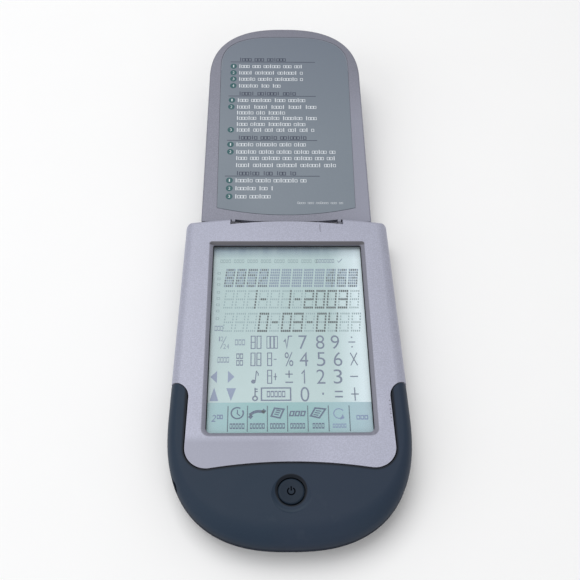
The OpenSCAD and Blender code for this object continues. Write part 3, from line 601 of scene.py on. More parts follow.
def lcd_face():
    """Pale green-grey, with a painted dark blue reflection along the hinge side and a painted white highlight at the
    right.
    """
    color = (0.430, 0.570, 0.580)
    coat = Finish("lcd_face", color, 0.35)
    x, y = coat.x, coat.y
    streaks = coat.noise(380, 2, (1, 0.02, 1))
    low = y.between(0.018, -0.012)
    coat.tint = coat.blend(low, color, (0.500, 0.630, 0.640))
    # painted highlight: whiter towards the right edge
    right = x.between(0.015, 0.0250)
    coat.over(right, (0.82, 0.94, 1.0))
    left = x.between(-0.0235, -0.0272)
    coat.over(left * 0.5, (0.58, 0.68, 0.74))
    # painted reflection: dark blue along the hinge side, broken up by streaks
    top = y.between(0.0442, 0.0490) * (x.between(0.0265, 0.010) * 0.6 + 0.4)
    coat.over(top * (streaks * 0.5 + 0.65), (0.060, 0.115, 0.230))
    rows = coat.noise(150, 2, (1, 0.04, 1)).between(0.42, 0.62)
    coat.over(rows * 0.22, (0.56, 0.68, 0.72))
    weave = (x * 5200).wave() * (y * 5200).wave()
    coat.over(weave * 0.04 + 0.04, (0.42, 0.55, 0.56))
    coat.feed("Base Color", coat.tint)
    return coat.material


def strip_film():
    color = (0.230, 0.450, 0.470)
    coat = Finish("function_strip_film", color, 0.35)
    coat.tint = coat.blend(coat.noise(300, 2) * 0.3, color, (0.28, 0.50, 0.52))
    coat.over(coat.x.between(0.006, 0.026) * 0.75, (0.42, 0.56, 0.66))
    coat.over(coat.x.between(-0.014, -0.025) * 0.7, (0.34, 0.53, 0.58))
    coat.feed("Base Color", coat.tint)
    return coat.material


def touch_glass():
    coat = Finish("touch_panel_film", (0.80, 0.90, 0.90), 0.3, Alpha=0.08, Specular_IOR_Level=0.2)
    smudge = coat.noise(130, 4)
    coat.feed("Roughness", smudge * 0.22 + 0.25)
    return coat.material


def card_film():
    color = (0.172, 0.208, 0.250)
    coat = Finish("card_film", color, 0.42)
    fine, slow = coat.noise(1800, 3), coat.noise(40, 3)
    coat.tint = coat.blend(fine, shade(color, 0.94), shade(color, 1.06))
    coat.over(coat.y.between(0.100, 0.150) * 0.8, (0.128, 0.155, 0.205))
    coat.feed("Base Color", coat.blend(slow * 0.3, coat.tint, shade(color, 0.95)))
    coat.feed("Roughness", slow * 0.16 + 0.34)
    coat.bump(fine, 0.000004, 0.5)
    return coat.material


def printed(name, color, roughness=0.5, **fixed):
    """A film of ink; also used for the painted highlight along the card's edge."""
    return mottled(name, color, roughness, 3000, 0.06, 200, 0.000002, **fixed)


def brushed(name, color, roughness=0.3, along=(1, 30, 30)):
    coat = Finish(name, color, roughness, Metallic=1.0)
    lines = coat.noise(900, 4, along)
    coat.feed("Base Color", coat.blend(lines, shade(color, 0.82), shade(color, 1.12)))
    coat.feed("Roughness", lines * 0.2 + (roughness - 0.08))
    coat.bump(lines, 0.000008, 0.4)
    return coat.material


def circuit_board():
    color = (0.018, 0.140, 0.055)
    coat = Finish("solder_mask_green", color, 0.28)
    cells = {"Vector": coat.place, "Scale": 420.0}
    tracks = coat.node("ShaderNodeTexVoronoi", {"distance": "MANHATTAN"}, cells).between(0.25, 0.35)
    coat.feed("Base Color", coat.blend(tracks, (0.045, 0.23, 0.09), color))
    coat.bump(tracks, 0.00002, 0.4)
    return coat.material


def layered_rubber():
    coat = Finish("layered_rubber", (0.50, 0.26, 0.24), 0.6)
    layers = (coat.x * 30000).wave().above(0)
    coat.feed("Base Color", coat.blend(layers, (0.50, 0.26, 0.24), (0.05, 0.05, 0.05)))
    return coat.material


SILVER = silver_paint("lilac_silver_paint", (0.385, 0.395, 0.490), body=True)
SILVER_COVER = silver_paint("lilac_silver_cover", (0.205, 0.210, 0.262))
NAVY = soft_navy()
KEY_NAVY = mottled("button_navy", (0.012, 0.022, 0.038), 0.45, 5000, 0.12, 300, Specular_IOR_Level=0.15)
SOCKET_BLACK = mottled("moulded_black", (0.012, 0.012, 0.014), 0.45, 4000, 0.2, 200)
FOAM = mottled("foam_black", (0.010, 0.012, 0.014), 0.8, 2500, 0.4, 200, 0.00004)
GREY_RUBBER = mottled("grey_rubber", (0.09, 0.09, 0.10), 0.65, 3000, 0.15, 200)
STEEL = brushed("plated_steel", (0.60, 0.60, 0.62))
CELL_STEEL = brushed("coin_cell_steel", (0.64, 0.63, 0.60), 0.26, (30, 1, 1))
BRASS = brushed("sheet_brass", (0.66, 0.46, 0.16))
CARD_FILM = card_film()
WHITE_INK = printed("white_ink", (0.68, 0.72, 0.76))
HEAD_INK = printed("heading_ink", (0.040, 0.052, 0.090))
TEAL_INK = printed("teal_ink", (0.012, 0.090, 0.100))
KEY_INK = printed("key_ink", (0.120, 0.150, 0.250))
DARK_INK = printed("lit_segments", (0.030, 0.045, 0.055))
FAINT_INK = printed("unlit_segments", (0.270, 0.370, 0.400))
CELL_INK = printed("unlit_dots", (0.200, 0.265, 0.370))
STRIP_INK = printed("strip_ink", (0.036, 0.072, 0.165))
MARK_INK = printed("black_mark", (0.002, 0.003, 0.005), 0.6, Specular_IOR_Level=0.0)
DIM_INK = printed("lit_dots", (0.085, 0.110, 0.155))
PALE_INK = printed("pale_key_ink", (0.230, 0.290, 0.380))
ARROW_INK = printed("arrow_ink", (0.240, 0.290, 0.450))
# painted highlight for the card's rounded edge
CARD_EDGE_HIGHLIGHT = printed("card_border_ink", (0.225, 0.250, 0.300))
RULE_INK = printed("strip_rule_ink", (0.060, 0.120, 0.170))
STRIP_PALE = printed("strip_pale_ink", (0.160, 0.220, 0.420))
STRIP_MID = printed("strip_mid_ink", (0.110, 0.150, 0.320))
TOUCH = touch_glass()
STRIP = strip_film()
LCD = lcd_face()
BOARD = circuit_board()
ZEBRA = layered_rubber()
REFLECTOR = mottled("reflector_film", (0.52, 0.66, 0.66), 0.35, 1200, 0.05, 60)
TAIL = mottled("amber_film", (0.45, 0.22, 0.04), 0.3, 900, 0.08, 100)
IVORY = mottled("ivory_plastic", (0.66, 0.63, 0.52), 0.45, 2500, 0.05, 100)
RESIN = mottled("black_resin", (0.012, 0.012, 0.013), 0.35, 2500, 0.25, 150, 0.00002)
CERAMIC_TAN = mottled("ceramic_tan", (0.42, 0.27, 0.14), 0.5, 3000, 0.1, 200)
CERAMIC_WHITE = mottled("ceramic_white", (0.70, 0.69, 0.65), 0.5, 3000, 0.05, 200)
LEAD_RED = mottled("lead_red", (0.36, 0.02, 0.02), 0.45, 3000, 0.08, 200)
NIB = mottled("nib_plastic", (0.62, 0.62, 0.60), 0.4, 3000, 0.05, 200)


def wear(piece, material):
    piece.data.materials.clear()
    piece.data.materials.append(material)
    return piece


def ride(piece, body, material, replaces=()):
    wear(piece, material)
    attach(piece, body)
    if replaces:
        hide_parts(*replaces)
    return piece


def on_screen(piece, ink):
    """A print or a lit mark of the display or the function strip."""
    return ride(piece, "organiser", ink)


def on_card(piece, ink):
    """A print on the cover's card, and also the painted highlight along the card's edge."""
    return ride(on_hinge(piece), "cover", ink)


def mine(node, material):
    """A CAD node keeps its shape and gets its finish."""
    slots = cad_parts[node].material_slots
    for one in slots:
        one.link = "OBJECT"
        one.material = material


# ---------- the front case ----------
ROLL_TURNS = (0, 8, 16, 24, 32, 40, 47, 53, 59, 64, 69, 73, 77, 81, 85, 87.5, 90)
ROLL_STEPS = [PARTING_Z] + [FACE_Z - 5 + 5 * math.sin(math.radians(turn)) for turn in ROLL_TURNS]


def front_rings(half, side_w, side_h, tail_w=8, tail_h=5, end=1.4):
    rings = []
    for z in ROLL_STEPS:
        inset = (roll(z, FACE_Z, side_w, side_h), roll(z, FACE_Z, tail_w, tail_h), roll(z, FACE_Z, end, end))
        rings.append((z, body_outline(half, *inset)))
    return rings


def notch_tool():
    floor = [(21 * i / 16, END_Y - 3 + 1.4 - 1.4 * (i / 16) ** 2) for i in range(-16, 17)]
    return plate("notch", floor + [(21, END_Y + 9), (-21, END_Y + 9)], -1, FACE_Z + 1)


def make_front_case():
    case = lofted("front_shell", front_rings(CASE_HALF, 3.8, 2.5))
    combine(case, plate("tongue", tongue_plan(0), PARTING_Z - 1, FACE_Z + 1), "INTERSECT")
    combine(case, plate("low_hollow", body_outline(CASE_HALF, WALL, WALL, HINGE_WALL), PARTING_Z - 1, SKIRT_Z))
    hollow = plate("high_hollow", body_outline(CASE_HALF, WALL, WALL, HINGE_WALL), SKIRT_Z - 0.01, CEILING_Z)
    combine(hollow, plate("inner_tongue", tongue_plan(-1.2), SKIRT_Z - 1, FACE_Z), "INTERSECT")
    combine(case, hollow)
    window = [(CEILING_Z - 2, window_plan(0)), (FACE_Z - 0.7, window_plan(0)), (FACE_Z + 0.3, window_plan(1.5 / 0.7))]
    combine(case, lofted("window", window))
    combine(case, notch_tool())
    for side in (-1, 1):
        combine(case, rod((side * 20, HINGE_Y, HINGE_Z), (side * 26, HINGE_Y, HINGE_Z), 0.65))
    soften(case, 0.22, lambda p: p.z > 9.2 and (p.y > 57.5 or outer_seam(p) or bezel_edge(p)))
    return ride(smooth(case), "organiser", SILVER, ["front_case"])


def bezel_edge(p):
    return p.z > FACE_Z - 0.9 and abs(p.x) < SCREEN_HALF + 1.7 and SCREEN_Y0 - 1.8 < p.y < SCREEN_Y1 + 1.8


def outer_seam(p):
    """True on the seam between the front case and the grip, outside."""
    near_arm = abs(p.x) > 32.4 and -36 < p.y < ARM_Y + 0.4
    near_chin = p.y < CHIN_Y + 0.9
    return p.z > 10 and (near_arm or near_chin)


def make_grip():
    grip = lofted("grip_shell", front_rings(HALF_W, 3.4, 5))
    combine(grip, block(-60, 60, ARM_Y - 0.02, 90, 0, 20))
    combine(grip, plate("tongue", tongue_plan(0.35), PARTING_Z - 1, FACE_Z + 1))
    inside = body_outline(CASE_HALF, WALL, WALL, WALL)
    combine(grip, plate("low_hollow", inside, PARTING_Z - 1, SKIRT_Z))
    hollow = lofted("high_hollow", [(SKIRT_Z - 0.01, inside), (CEILING_Z, body_outline(CASE_HALF, 5, 8.5, WALL))])
    combine(hollow, plate("inner_tongue", tongue_plan(1.55), SKIRT_Z - 1, FACE_Z))
    combine(grip, hollow)
    dish = [(FACE_Z + 1, 6.5)]
    for i in range(13):
        dish.append((FACE_Z + 0.02 - 0.62 * math.sin(math.radians(90 * i / 12)), 6.2 - 2.0 * i / 12))
    combine(grip, lofted("dish", [(z, circle(BUTTON_Y - 0.9, r)) for z, r in reversed(dish)]))
    combine(grip, post(0, BUTTON_Y, CEILING_Z - 2, FACE_Z + 1, BUTTON_HOLE_R, 72))
    combine(grip, rod((-44.35, BUTTON_Y + 3.4, 9), (-25.9, BUTTON_Y + 3.4, 9), 2.35))
    soften(grip, 0.45, lambda p: p.z > 10 and outer_seam(p), segments=4)
    soften(grip, 0.14, lambda p: p.y > ARM_Y - 0.1 or (p.z > 12.5 and button_rim(p)))
    return ride(smooth(grip), "organiser", NAVY, ["grip_cover"])


def button_rim(p):
    return max(abs(p.x), abs(p.y - BUTTON_Y)) < BUTTON_HOLE_R + 0.2


make_front_case()
make_grip()


# ---------- the rear case ----------
SCREWS = [(27, 54.1), (-27, 54.1), (26.65, -30.45), (-26.65, -30.45), (19, -51.2), (-19, -51.2)]


def tuck(z, width):
    """How far the rear shell has drawn in at height z."""
    return width * max(0, (PARTING_Z - z) / PARTING_Z) ** 1.8 + roll(0.8 - z, 0.8, 0.8, 0.8)


def back_rings(half, grow=0.0):
    heights = [0.8 * (1 - math.cos(math.radians(turn))) for turn in range(0, 90, 15)]
    heights += [0.8 + 5.7 * i / 16 for i in range(17)]
    return [(z, body_outline(half, tuck(z, 3.5) - grow, tuck(z, 6) - grow, tuck(z, 2.5) - grow)) for z in heights]


def make_rear_case():
    case = lofted("rear_shell", back_rings(CASE_HALF))
    grip = lofted("rear_grip", back_rings(HALF_W))
    combine(grip, block(-60, 60, ARM_Y, 90, -1, 20))
    combine(case, grip, "UNION")
    inner = []
    for z in (FLOOR_T, 2.2, 2.8, 3.6, 4.4, 5.4, PARTING_Z, PARTING_Z + 1):
        inner.append((z, body_outline(CASE_HALF, WALL + tuck(z, 3.5), WALL + tuck(z, 6), HINGE_WALL)))
    combine(case, lofted("hollow", inner))
    well = block(-23.1, 23.1, -31.7, -8.3, FLOOR_T - 0.1, 5.4)
    combine(case, well, "UNION")
    rib = block(29, 37.5, -33, END_Y - 2.2, FLOOR_T - 0.1, PARTING_Z - 0.05)
    combine(rib, lofted("trim", back_rings(CASE_HALF, -0.6)), "INTERSECT")
    combine(case, rib, "UNION")
    for x, y in SCREWS:
        pillar = post(x, y, FLOOR_T - 0.1, 5.6 if abs(y + 30.45) < 1 else PARTING_Z - 0.05, 2.9, 32)
        combine(pillar, lofted("trim", back_rings(CASE_HALF, -0.3)), "INTERSECT")
        combine(case, pillar, "UNION")
    combine(case, post(BUZZER_X, BUZZER_Y, FLOOR_T - 0.1, 2.4, 9.8), "UNION")
    combine(case, post(BUZZER_X, BUZZER_Y, FLOOR_T, 3, 8.6))
    combine(case, block(-21.9, 21.9, -30.5, -9.5, -1, PARTING_Z + 1))
    combine(case, block(-22.85, 22.85, -32.15, -7.85, -1, DOOR_Z))
    for top, r, sides in ((DOOR_Z, 3.55, 40), (4.2, 0.8, 24)):
        combine(case, post(0, -6.8, -1, top, r, sides))
    for start_y, r in ((-32, 1.9), (57.2, 2.4)):
        combine(case, rod((STYLUS_X, start_y, STYLUS_Z), (STYLUS_X, 70, STYLUS_Z), r, 40))
    for x, y in SCREWS:
        combine(case, post(x, y, -1, 2.6, 2, 32))
        combine(case, post(x, y, 2.5, PARTING_Z + 1, 1.15, 24))
    combine(case, post(16, 4, -1, FLOOR_T + 1, 1.1, 24))
    for i in range(-2, 3):
        x = BUZZER_X + i * 2.4
        combine(case, block(x - 0.5, x + 0.5, BUZZER_Y - 4, BUZZER_Y + 4, -1, FLOOR_T + 1))
    combine(case, notch_tool())
    soften(case, 0.12, lambda p: p.z < 0.05 or (p.y > 59 and p.z < 6.4), segments=2)
    return ride(smooth(case), "organiser", NAVY, ["rear_case"])


make_rear_case()


# ---------- the power button ----------
def make_button():
    steps = [(11.75, 3.95), (11.8, 4.05), (13.5, 4.05), (13.66, 4.0), (13.79, 3.88), (13.86, 3.7), (13.88, 3.5)]
    steps += [(13.76 + 0.12 * (r / 3.5) ** 2, r) for r in (3.2, 2.6, 2.0, 1.4, 0.8, 0.3)]
    cap = lofted("button_cap", [(z, circle(BUTTON_Y, r)) for z, r in steps])
    combine(cap, post(0, BUTTON_Y, 11.4, 12.3, 5.15, 72), "UNION")
    combine(cap, post(0, BUTTON_Y, 9.2, 11.5, 2.4), "UNION")
    ride(smooth(cap, 40), "power_key", KEY_NAVY, ["power_button"])
    ring = sweep(arc(0, BUTTON_Y, 1.12, 122, 418, 40), 0.42, 13.772, 13.8)
    bar = tile(0, BUTTON_Y + 0.85, 0.42, 1.4, 13.772, 13.8)
    ride(joined("power_mark", [ring, bar]), "power_key", MARK_INK)


make_button()


# ---------- the cover and its card ----------
def make_cover():
    panel = plate("cover_shell", cover_plan(), -COVER_FACE - COVER_T, -COVER_FACE)
    soften(panel, 0.55, lambda p: p.y > 4.5 or abs(p.x) > 30, segments=4)
    combine(panel, plate("recess", card_plan(0), -COVER_FACE - 0.27, 1))
    for side in (-1, 1):
        x0, x1 = sorted((side * 19.4, side * 20.7))
        ear = block(x0, x1, -1, 4.6, -COVER_FACE - COVER_T, -COVER_FACE)
        combine(ear, block(x0, x1, -1, 1, -COVER_FACE - 0.1, 0), "UNION")
        combine(ear, rod((x0, 0, 0), (x1, 0, 0), 1, 40), "UNION")
        soften(ear, 0.12, segments=2)
        combine(ear, rod((side * 19.6, 0, 0), (side * 24.6, 0, 0), 0.6, 32), "UNION")
        combine(panel, ear, "UNION")
    soften(panel, 0.08, lambda p: p.z > -COVER_FACE - 0.01 and in_card(p, 0.3), segments=2)
    on_hinge(smooth(panel))
    ride(panel, "cover", SILVER_COVER, ["cover_panel"])

    card = plate("card", card_plan(0.15), -COVER_FACE - 0.25, CARD_TOP)
    soften(card, 0.05, segments=2)
    on_hinge(smooth(card))
    ride(card, "cover", CARD_FILM, ["label_card"])


def in_card(p, grow):
    return abs(p.x) < 26.5 + grow and 5 < p.y < COVER_REACH - CARD_TIP_GAP + grow


make_cover()

# Headings are (underline start, end, words start, end, distance of the underline from the hinge)
HEADINGS = [
    (-22.5, 12.7, -19, 1, 79.8), (-23, 12.6, -19, 5, 62.0), (-23.2, 12.6, -19, 9, 40.0), (-23.7, 13.2, -19.5, 5, 23.1),
]
# Lines are (start, end, distance from the hinge, numeral or none)
LINES = [
    (-19.2, 8.2, 77.5, "1"), (-19.2, 7.6, 74.1, "2"), (-19.2, 7.5, 70.8, "3"), (-19.2, 0, 67.3, "4"),
    (-19.6, 8.8, 59.9, "1"), (-19.8, 13.0, 56.5, "2"), (-19.8, 0.1, 53.6, ""), (-19.8, 12.8, 50.9, ""),
    (-19.8, 8.8, 47.9, ""), (-19.8, 12.1, 45.1, "3"), (-19.8, 8.6, 38.0, "1"), (-19.8, 19.9, 34.5, "2"),
    (-19.8, 19.8, 31.5, ""), (-19.8, 19.7, 28.2, ""), (-19.9, 8.8, 21.1, "1"), (-19.9, -4.1, 17.5, "2"),
    (-19.9, -5.4, 13.8, "3"),
]
INK_TOP = CARD_TOP + 0.02


def make_card_print():
    z = CARD_TOP + 0.003
    box = frame_shape(1.0, 1.5, 0.24, 0.017)
    stem = tile(0, 0, 0.36, 1.85, 0, 0.017)
    white = lettering("card_lines", [(a, b, t, 1.16) for a, b, t, _ in LINES], box, z, stem)
    fine = frame_shape(1.0, 0.8, 0.12, 0.017)
    small = lettering("card_small", [(4.2, 22.3, 10.95, 0.8)], fine, z)
    on_card(joined("card_lines", [white, small]), WHITE_INK)
    heavy = frame_shape(1.0, 1.7, 0.34, 0.017)
    words = lettering("card_words", [(a, b, t + 1.35, 1.3) for _, _, a, b, t in HEADINGS], heavy, z, stem)
    rules = [tile((a + b) / 2, t, b - a, 0.28, z, INK_TOP) for a, b, _, _, t in HEADINGS]
    on_card(joined("card_headings", [words] + rules), HEAD_INK)
    discs, numerals = [], []
    for x, _, t, numeral in LINES:
        if numeral:
            discs.append(post(x - 2.0, t, z, INK_TOP, 1.32, 32))
            wide = 0.42 if numeral == "1" else 0.72
            numerals.append(figure(numeral, x - 2.0, t, wide, 1.25, INK_TOP + 0.002, INK_TOP + 0.014))
    on_card(joined("card_discs", discs), TEAL_INK)
    on_card(joined("card_numerals", numerals), WHITE_INK)
    # painted highlight: a pale line along the rounded end of the card, where its edge catches the light
    line = [(x, t) for x, t in card_plan(0.35) if t > 74]
    right = [p for p in line if p[0] >= 0]
    left = [p for p in line if p[0] < 0]
    edge = sweep(right + left, 0.22, z, INK_TOP)
    on_card(joined("card_border", [edge]), CARD_EDGE_HIGHLIGHT)
    remove(box, stem, heavy, fine)


make_card_print()

# ---------- the display ----------
Z0, Z1 = LCD_Z, LCD_Z + 0.014
MATRIX_Y, DATE_ROWS = 35.8, (26.6, 17.05)
CELLS = [-20.75 + 4.03 * i for i in range(12)]
LEAN = 0.105
SEVEN = {"0": "abcdef", "1": "bc", "2": "abged", "3": "abgcd", "4": "fgbc", "-": "m", " ": ""}
NUMERALS = {
    "0": "01110 10001 10011 10101 11001 10001 01110",
    "2": "01110 10001 00001 00110 01000 10000 11111",
    "3": "01110 10001 00001 00110 00001 10001 01110",
    "4": "00010 00110 01010 10010 11111 00010 00010",
    "5": "11111 10000 11110 00001 00001 10001 01110",
    "6": "00110 01000 10000 11110 10001 10001 01110",
    "8": "01110 10001 10001 01110 10001 10001 01110",
}


def cell_dots(cell, y, pattern):
    """Places of the dots of one cell that the pattern says are on."""
    spots = []
    for row in range(7):
        for column in range(5):
            if pattern(column, row):
                up = (3 - row) * 1.17
                spots.append((CELLS[cell] + (column - 2) * 0.70 + up * LEAN, y + up, 1, 1))
    return spots


def segment_on(parts):
    def test(column, row):
        side = {0: "fe", 4: "bc"}.get(column)
        upright = side and ((side[0] in parts and row < 4) or (side[1] in parts and row > 2))
        flat = (row == 0 and "a" in parts) or (row == 3 and "g" in parts) or (row == 6 and "d" in parts)
        inside = (row == 3 and "m" in parts and 0 < column < 4)
        return upright or flat or inside

    return test


def matrix_on(numeral):
    rows = NUMERALS[numeral].split()
    return lambda column, row: rows[row][column] == "1"


def make_dots():
    dot = tile(0, 0, 0.54, 0.88, 0, 0.012)
    faint = tile(0, 0, 0.42, 0.70, 0, 0.008)
    lit, unlit, ghosts = [], [], []
    for cell, numeral in zip((0, 1, 2, 3, 9, 10, 11), "8052463"):
        lit += cell_dots(cell, MATRIX_Y, matrix_on(numeral))
    for cell in range(12):
        unlit += cell_dots(cell, MATRIX_Y, lambda column, row: True)
        for y in DATE_ROWS:
            ghosts += cell_dots(cell, y, segment_on("abcdefg"))
    dates = []
    for y, text in zip(DATE_ROWS, ("  1- 1-2003 ", "   0-03-04  ")):
        for cell, character in enumerate(text):
            dates += cell_dots(cell, y, segment_on(SEVEN[character]))
    on_screen(copies("display_unlit", dot, unlit, Z0), CELL_INK)
    on_screen(copies("display_ghosts", faint, ghosts, Z0), FAINT_INK)
    on_screen(copies("display_lit", dot, lit, Z0 + 0.006), DIM_INK)
    dark = tile(0, 0, 0.56, 0.84, 0, 0.012)
    on_screen(copies("display_dates", dark, dates, Z0 + 0.006), DARK_INK)
    remove(dot, faint, dark)


make_dots()


def bars(x, y, shapes):
    return [tile(x + dx, y + dy, w, h, Z0, Z1) for dx, dy, w, h in shapes]


def make_keys():
    high, digit = 5.4, 2.9
    parts = [sweep([(4.2, -3.2), (5.1, -2.0), (5.1, -6.9)], 0.44, Z0, Z1)]
    for character, x, y in (
        ("7", 4.9, 9.0), ("8", 10.8, 9.0), ("9", 15.9, 9.0), ("4", 5.1, 2.35), ("5", 10.9, 2.35), ("6", 16.6, 2.35),
        ("2", 10.6, -4.3), ("3", 16.3, -4.3), ("0", 5.1, -10.85),
    ):
        parts.append(figure(character, x, y, digit, high, Z0, Z1, 0.006))
    parts.append(figure("%", 0.05, 2.35, 2.9, high, Z0, Z1))
    parts += bars(21.7, 9.0, [(0, 0, 2.4, 0.42), (0, 1.9, 0.5, 0.55), (0, -1.9, 0.5, 0.55)])
    parts += bars(21.7, -4.3, [(0, 0, 2.6, 0.42)])
    parts += bars(21.6, -10.85, [(0, 0, 2.5, 0.4), (0, 0, 0.4, 4.8)])
    parts += bars(16.3, -10.85, [(0, 0.95, 2.6, 0.55), (0, -0.95, 2.6, 0.55)])
    parts += bars(11.1, -10.7, [(0, 0, 0.55, 0.8)])
    parts += bars(0, -4.3, [(0, 0.95, 2.5, 0.42), (0, 0.95, 0.42, 2.8), (0, -2.1, 2.5, 0.5)])
    for way in (-1, 1):
        parts.append(sweep([(22.0 - 1.15 * way, 4.8), (22.0 + 1.15 * way, -0.1)], 0.36, Z0, Z1))
    parts.append(sweep([(-1.6, 9.2), (-1.1, 10.0), (-0.6, 6.7), (0.0, 11.4), (1.3, 11.4)], 0.42, Z0, Z1))
    on_screen(joined("key_signs", parts), KEY_INK)

    arrows = [
        plate("left", [(-26.2, -4.3), (-24.0, -6.6), (-24.0, -2.0)], Z0, Z1),
        plate("right", [(-18.2, -4.3), (-20.4, -2.0), (-20.4, -6.6)], Z0, Z1),
        plate("up", [(-24.8, -8.2), (-26.2, -13.2), (-23.3, -13.2)], Z0, Z1),
        plate("down", [(-19.2, -13.2), (-20.8, -8.5), (-17.6, -8.5)], Z0, Z1),
    ]
    on_screen(joined("key_arrows", arrows), ARROW_INK)

    small = [
        post(-11.9, -6.1, Z0, Z1, 0.75, 24),
        sweep([(-11.3, -5.9), (-10.9, -2.0)], 0.34, Z0, Z1),
        sweep([(-10.95, -2.1), (-10.3, -3.1), (-10.3, -3.9)], 0.34, Z0, Z1),
        sweep(arc(-11.3, -12.3, 0.75, 0, 345, 23), 0.5, Z0, Z1, closed=True),
        sweep([(-9.2, -13.0), (0.4, -13.0), (0.4, -8.5), (-9.2, -8.5)], 0.5, Z0, Z1, closed=True),
    ]
    small += bars(-11.3, -10.0, [(0, 0, 0.42, 3.2), (0.45, 1.1, 0.9, 0.42), (0.45, 0.2, 0.9, 0.42)])
    letter = frame_shape(1.0, 1.0, 0.26, Z1 - Z0)
    tall = frame_shape(1.35, 4.9, 0.34, Z1 - Z0)
    spots = [(x, -10.75, 0.85, 1.9) for x in (-6.9, -5.65, -4.4, -3.15, -1.9)]
    spots += [(x, y, 0.85, 1.7) for x in (-17.2, -16.0) for y in (3.6, 1.0)]
    small.append(copies("boxes", letter, spots, Z0))
    spots = [(x, y, 1, 1) for y in (9.0, 2.35) for x in (-12.1, -10.1)]
    spots += [(x, 9.0, 0.75, 0.96) for x in (-6.9, -5.6, -4.3)]
    spots += [(-6.5, 2.35, 1, 1), (-6.5, -4.3, 1, 1)]
    small.append(copies("tall_boxes", tall, spots, Z0))
    small += [tile(x, y, 0.9, 0.34, Z0, Z1) for x, y in ((-12.1, 9.0), (-10.1, 2.35), (-6.5, 2.6), (-6.5, -4.0))]
    small += bars(-4.6, 2.35, [(0, 0, 1.0, 0.36)]) + bars(-4.6, -4.3, [(0, 0, 1.1, 0.36), (0, 0, 0.34, 2.6)])
    on_screen(joined("key_marks", small), KEY_INK)

    pale = [sweep([(-23.2, 6.6), (-21.3, 11.4)], 0.26, Z0, Z1)]
    for character, x, y in (("1", -23.6, 10.4), ("2", -22.7, 10.4), ("2", -21.8, 7.4), ("4", -20.7, 7.4)):
        pale.append(figure(character, x, y, 0.5 if character == "1" else 0.9, 1.9, Z0, Z1))
    spots = [(x, 9.0, 0.8, 1.9) for x in (-17.8, -16.6, -15.4)]
    spots += [(-23.6 + 1.0 * i, 2.2, 0.7, 1.8) for i in range(4)]
    pale.append(copies("pale_boxes", letter, spots, Z0))
    on_screen(joined("key_pale", pale), PALE_INK)

    status = [(-23.9 + 0.98 * i, 43.2, 0.62, 1.25) for i in range(36) if i % 5 != 4]
    margin = [(-24.6, y, 0.9, 0.8) for y in (37.8, 35.4, 33.0, 29.6, 27.0, 24.3, 21.7, 18.6)]
    on_screen(copies("status_faint", letter, status + margin, Z0), FAINT_INK)
    status = [(11.0 + 0.95 * i, 43.3, 0.62, 1.3) for i in range(7)]
    caps = [(x, 14.6, 0.7, 1.7) for x in (-25.0, -24.0, -23.0)]
    tick = sweep([(18.3, 43.4), (18.8, 42.7), (20.0, 44.2)], 0.3, Z0, Z1)
    on_screen(joined("status_marks", [copies("status", letter, status + caps, Z0), tick]), PALE_INK)
    remove(letter, tall)


make_keys()

# ---------- the function strip ----------
S0, S1 = 11.362, 11.378


def make_strip():
    rules = [tile(x, -19.6, 0.36, 9.2, S0, S1) for x in (-20.05, -13.7, -7.25, -0.73, 5.86, 12.6, 19.4)]
    on_screen(joined("strip_rules", rules), RULE_INK)

    icons = [
        sweep(arc(-17.0, -17.6, 1.95, 60, 390, 40), 0.50, S0, S1),
        sweep([(-17.0, -16.4), (-17.0, -17.8), (-16.1, -18.6)], 0.36, S0, S1),
        sweep(arc(-10.0, -21.0, 4.0, 62, 138, 16), 1.0, S0, S1),
        sweep([(-8.9, -16.6), (-7.9, -17.3)], 1.25, S0, S1),
        sweep([(-13.1, -19.4), (-12.3, -18.4)], 1.2, S0, S1),
        sweep([(-6.0, -18.7), (-4.9, -15.9), (-1.9, -16.3), (-3.2, -19.4)], 0.58, S0, S1, closed=True),
        sweep([(6.8, -18.7), (8.3, -15.9), (11.6, -16.3), (9.6, -19.4)], 0.58, S0, S1, closed=True),
    ]
    for x0, x1, y in ((-5.0, -3.6, -18.0), (-4.7, -3.2, -17.3), (-4.4, -2.9, -16.6)):
        icons.append(sweep([(x0, y), (x1, y - 0.3)], 0.44, S0, S1))
    for x0, x1, y in ((7.7, 9.3, -18.2), (8.1, 9.8, -17.5), (8.5, 10.3, -16.8)):
        icons.append(sweep([(x0, y), (x1, y - 0.3)], 0.40, S0, S1))
    for x in (0.7, 2.5, 4.3):
        box = [(x - 0.75, -18.6), (x + 0.35, -18.6), (x + 0.75, -17.1), (x - 0.35, -17.1)]
        icons.append(sweep(box, 0.48, S0, S1, closed=True))
    on_screen(joined("strip_icons", icons), STRIP_INK)

    pale = [
        sweep(arc(16.0, -17.9, 1.7, 35, 300, 30), 0.32, S0, S1),
        plate("arrow", [(16.2, -20.1), (17.7, -19.6), (17.2, -18.1)], S0, S1),
    ]
    letter = frame_shape(1.0, 1.0, 0.32, S1 - S0)
    spots = []
    for x, count in ((-17.0, 5), (-10.5, 5), (-4.0, 5), (2.5, 5), (9.2, 4)):
        spots += [(x + (i - (count - 1) / 2) * 0.98, -22.2, 0.62, 1.5) for i in range(count)]
    on_screen(copies("strip_legends", letter, spots, S0), STRIP_INK)
    spots = [(16.0 + (i - 2) * 0.9, -22.2, 0.55, 1.1) for i in range(5)]
    spots += [(x, -19.3, 0.9, 1.2) for x in (22.2, 23.5, 24.8)]
    pale.append(copies("last", letter, spots, S0))
    on_screen(joined("strip_pale", pale), STRIP_PALE)
    second = [figure("2", -24.6, -19.4, 1.5, 2.4, S0, S1, lean=0.2)]
    second.append(copies("ordinal", letter, [(-23.1, -18.9, 0.7, 1.2), (-22.1, -18.9, 0.7, 1.2)], S0))
    on_screen(joined("strip_second", second), STRIP_MID)
    remove(letter)


make_strip()


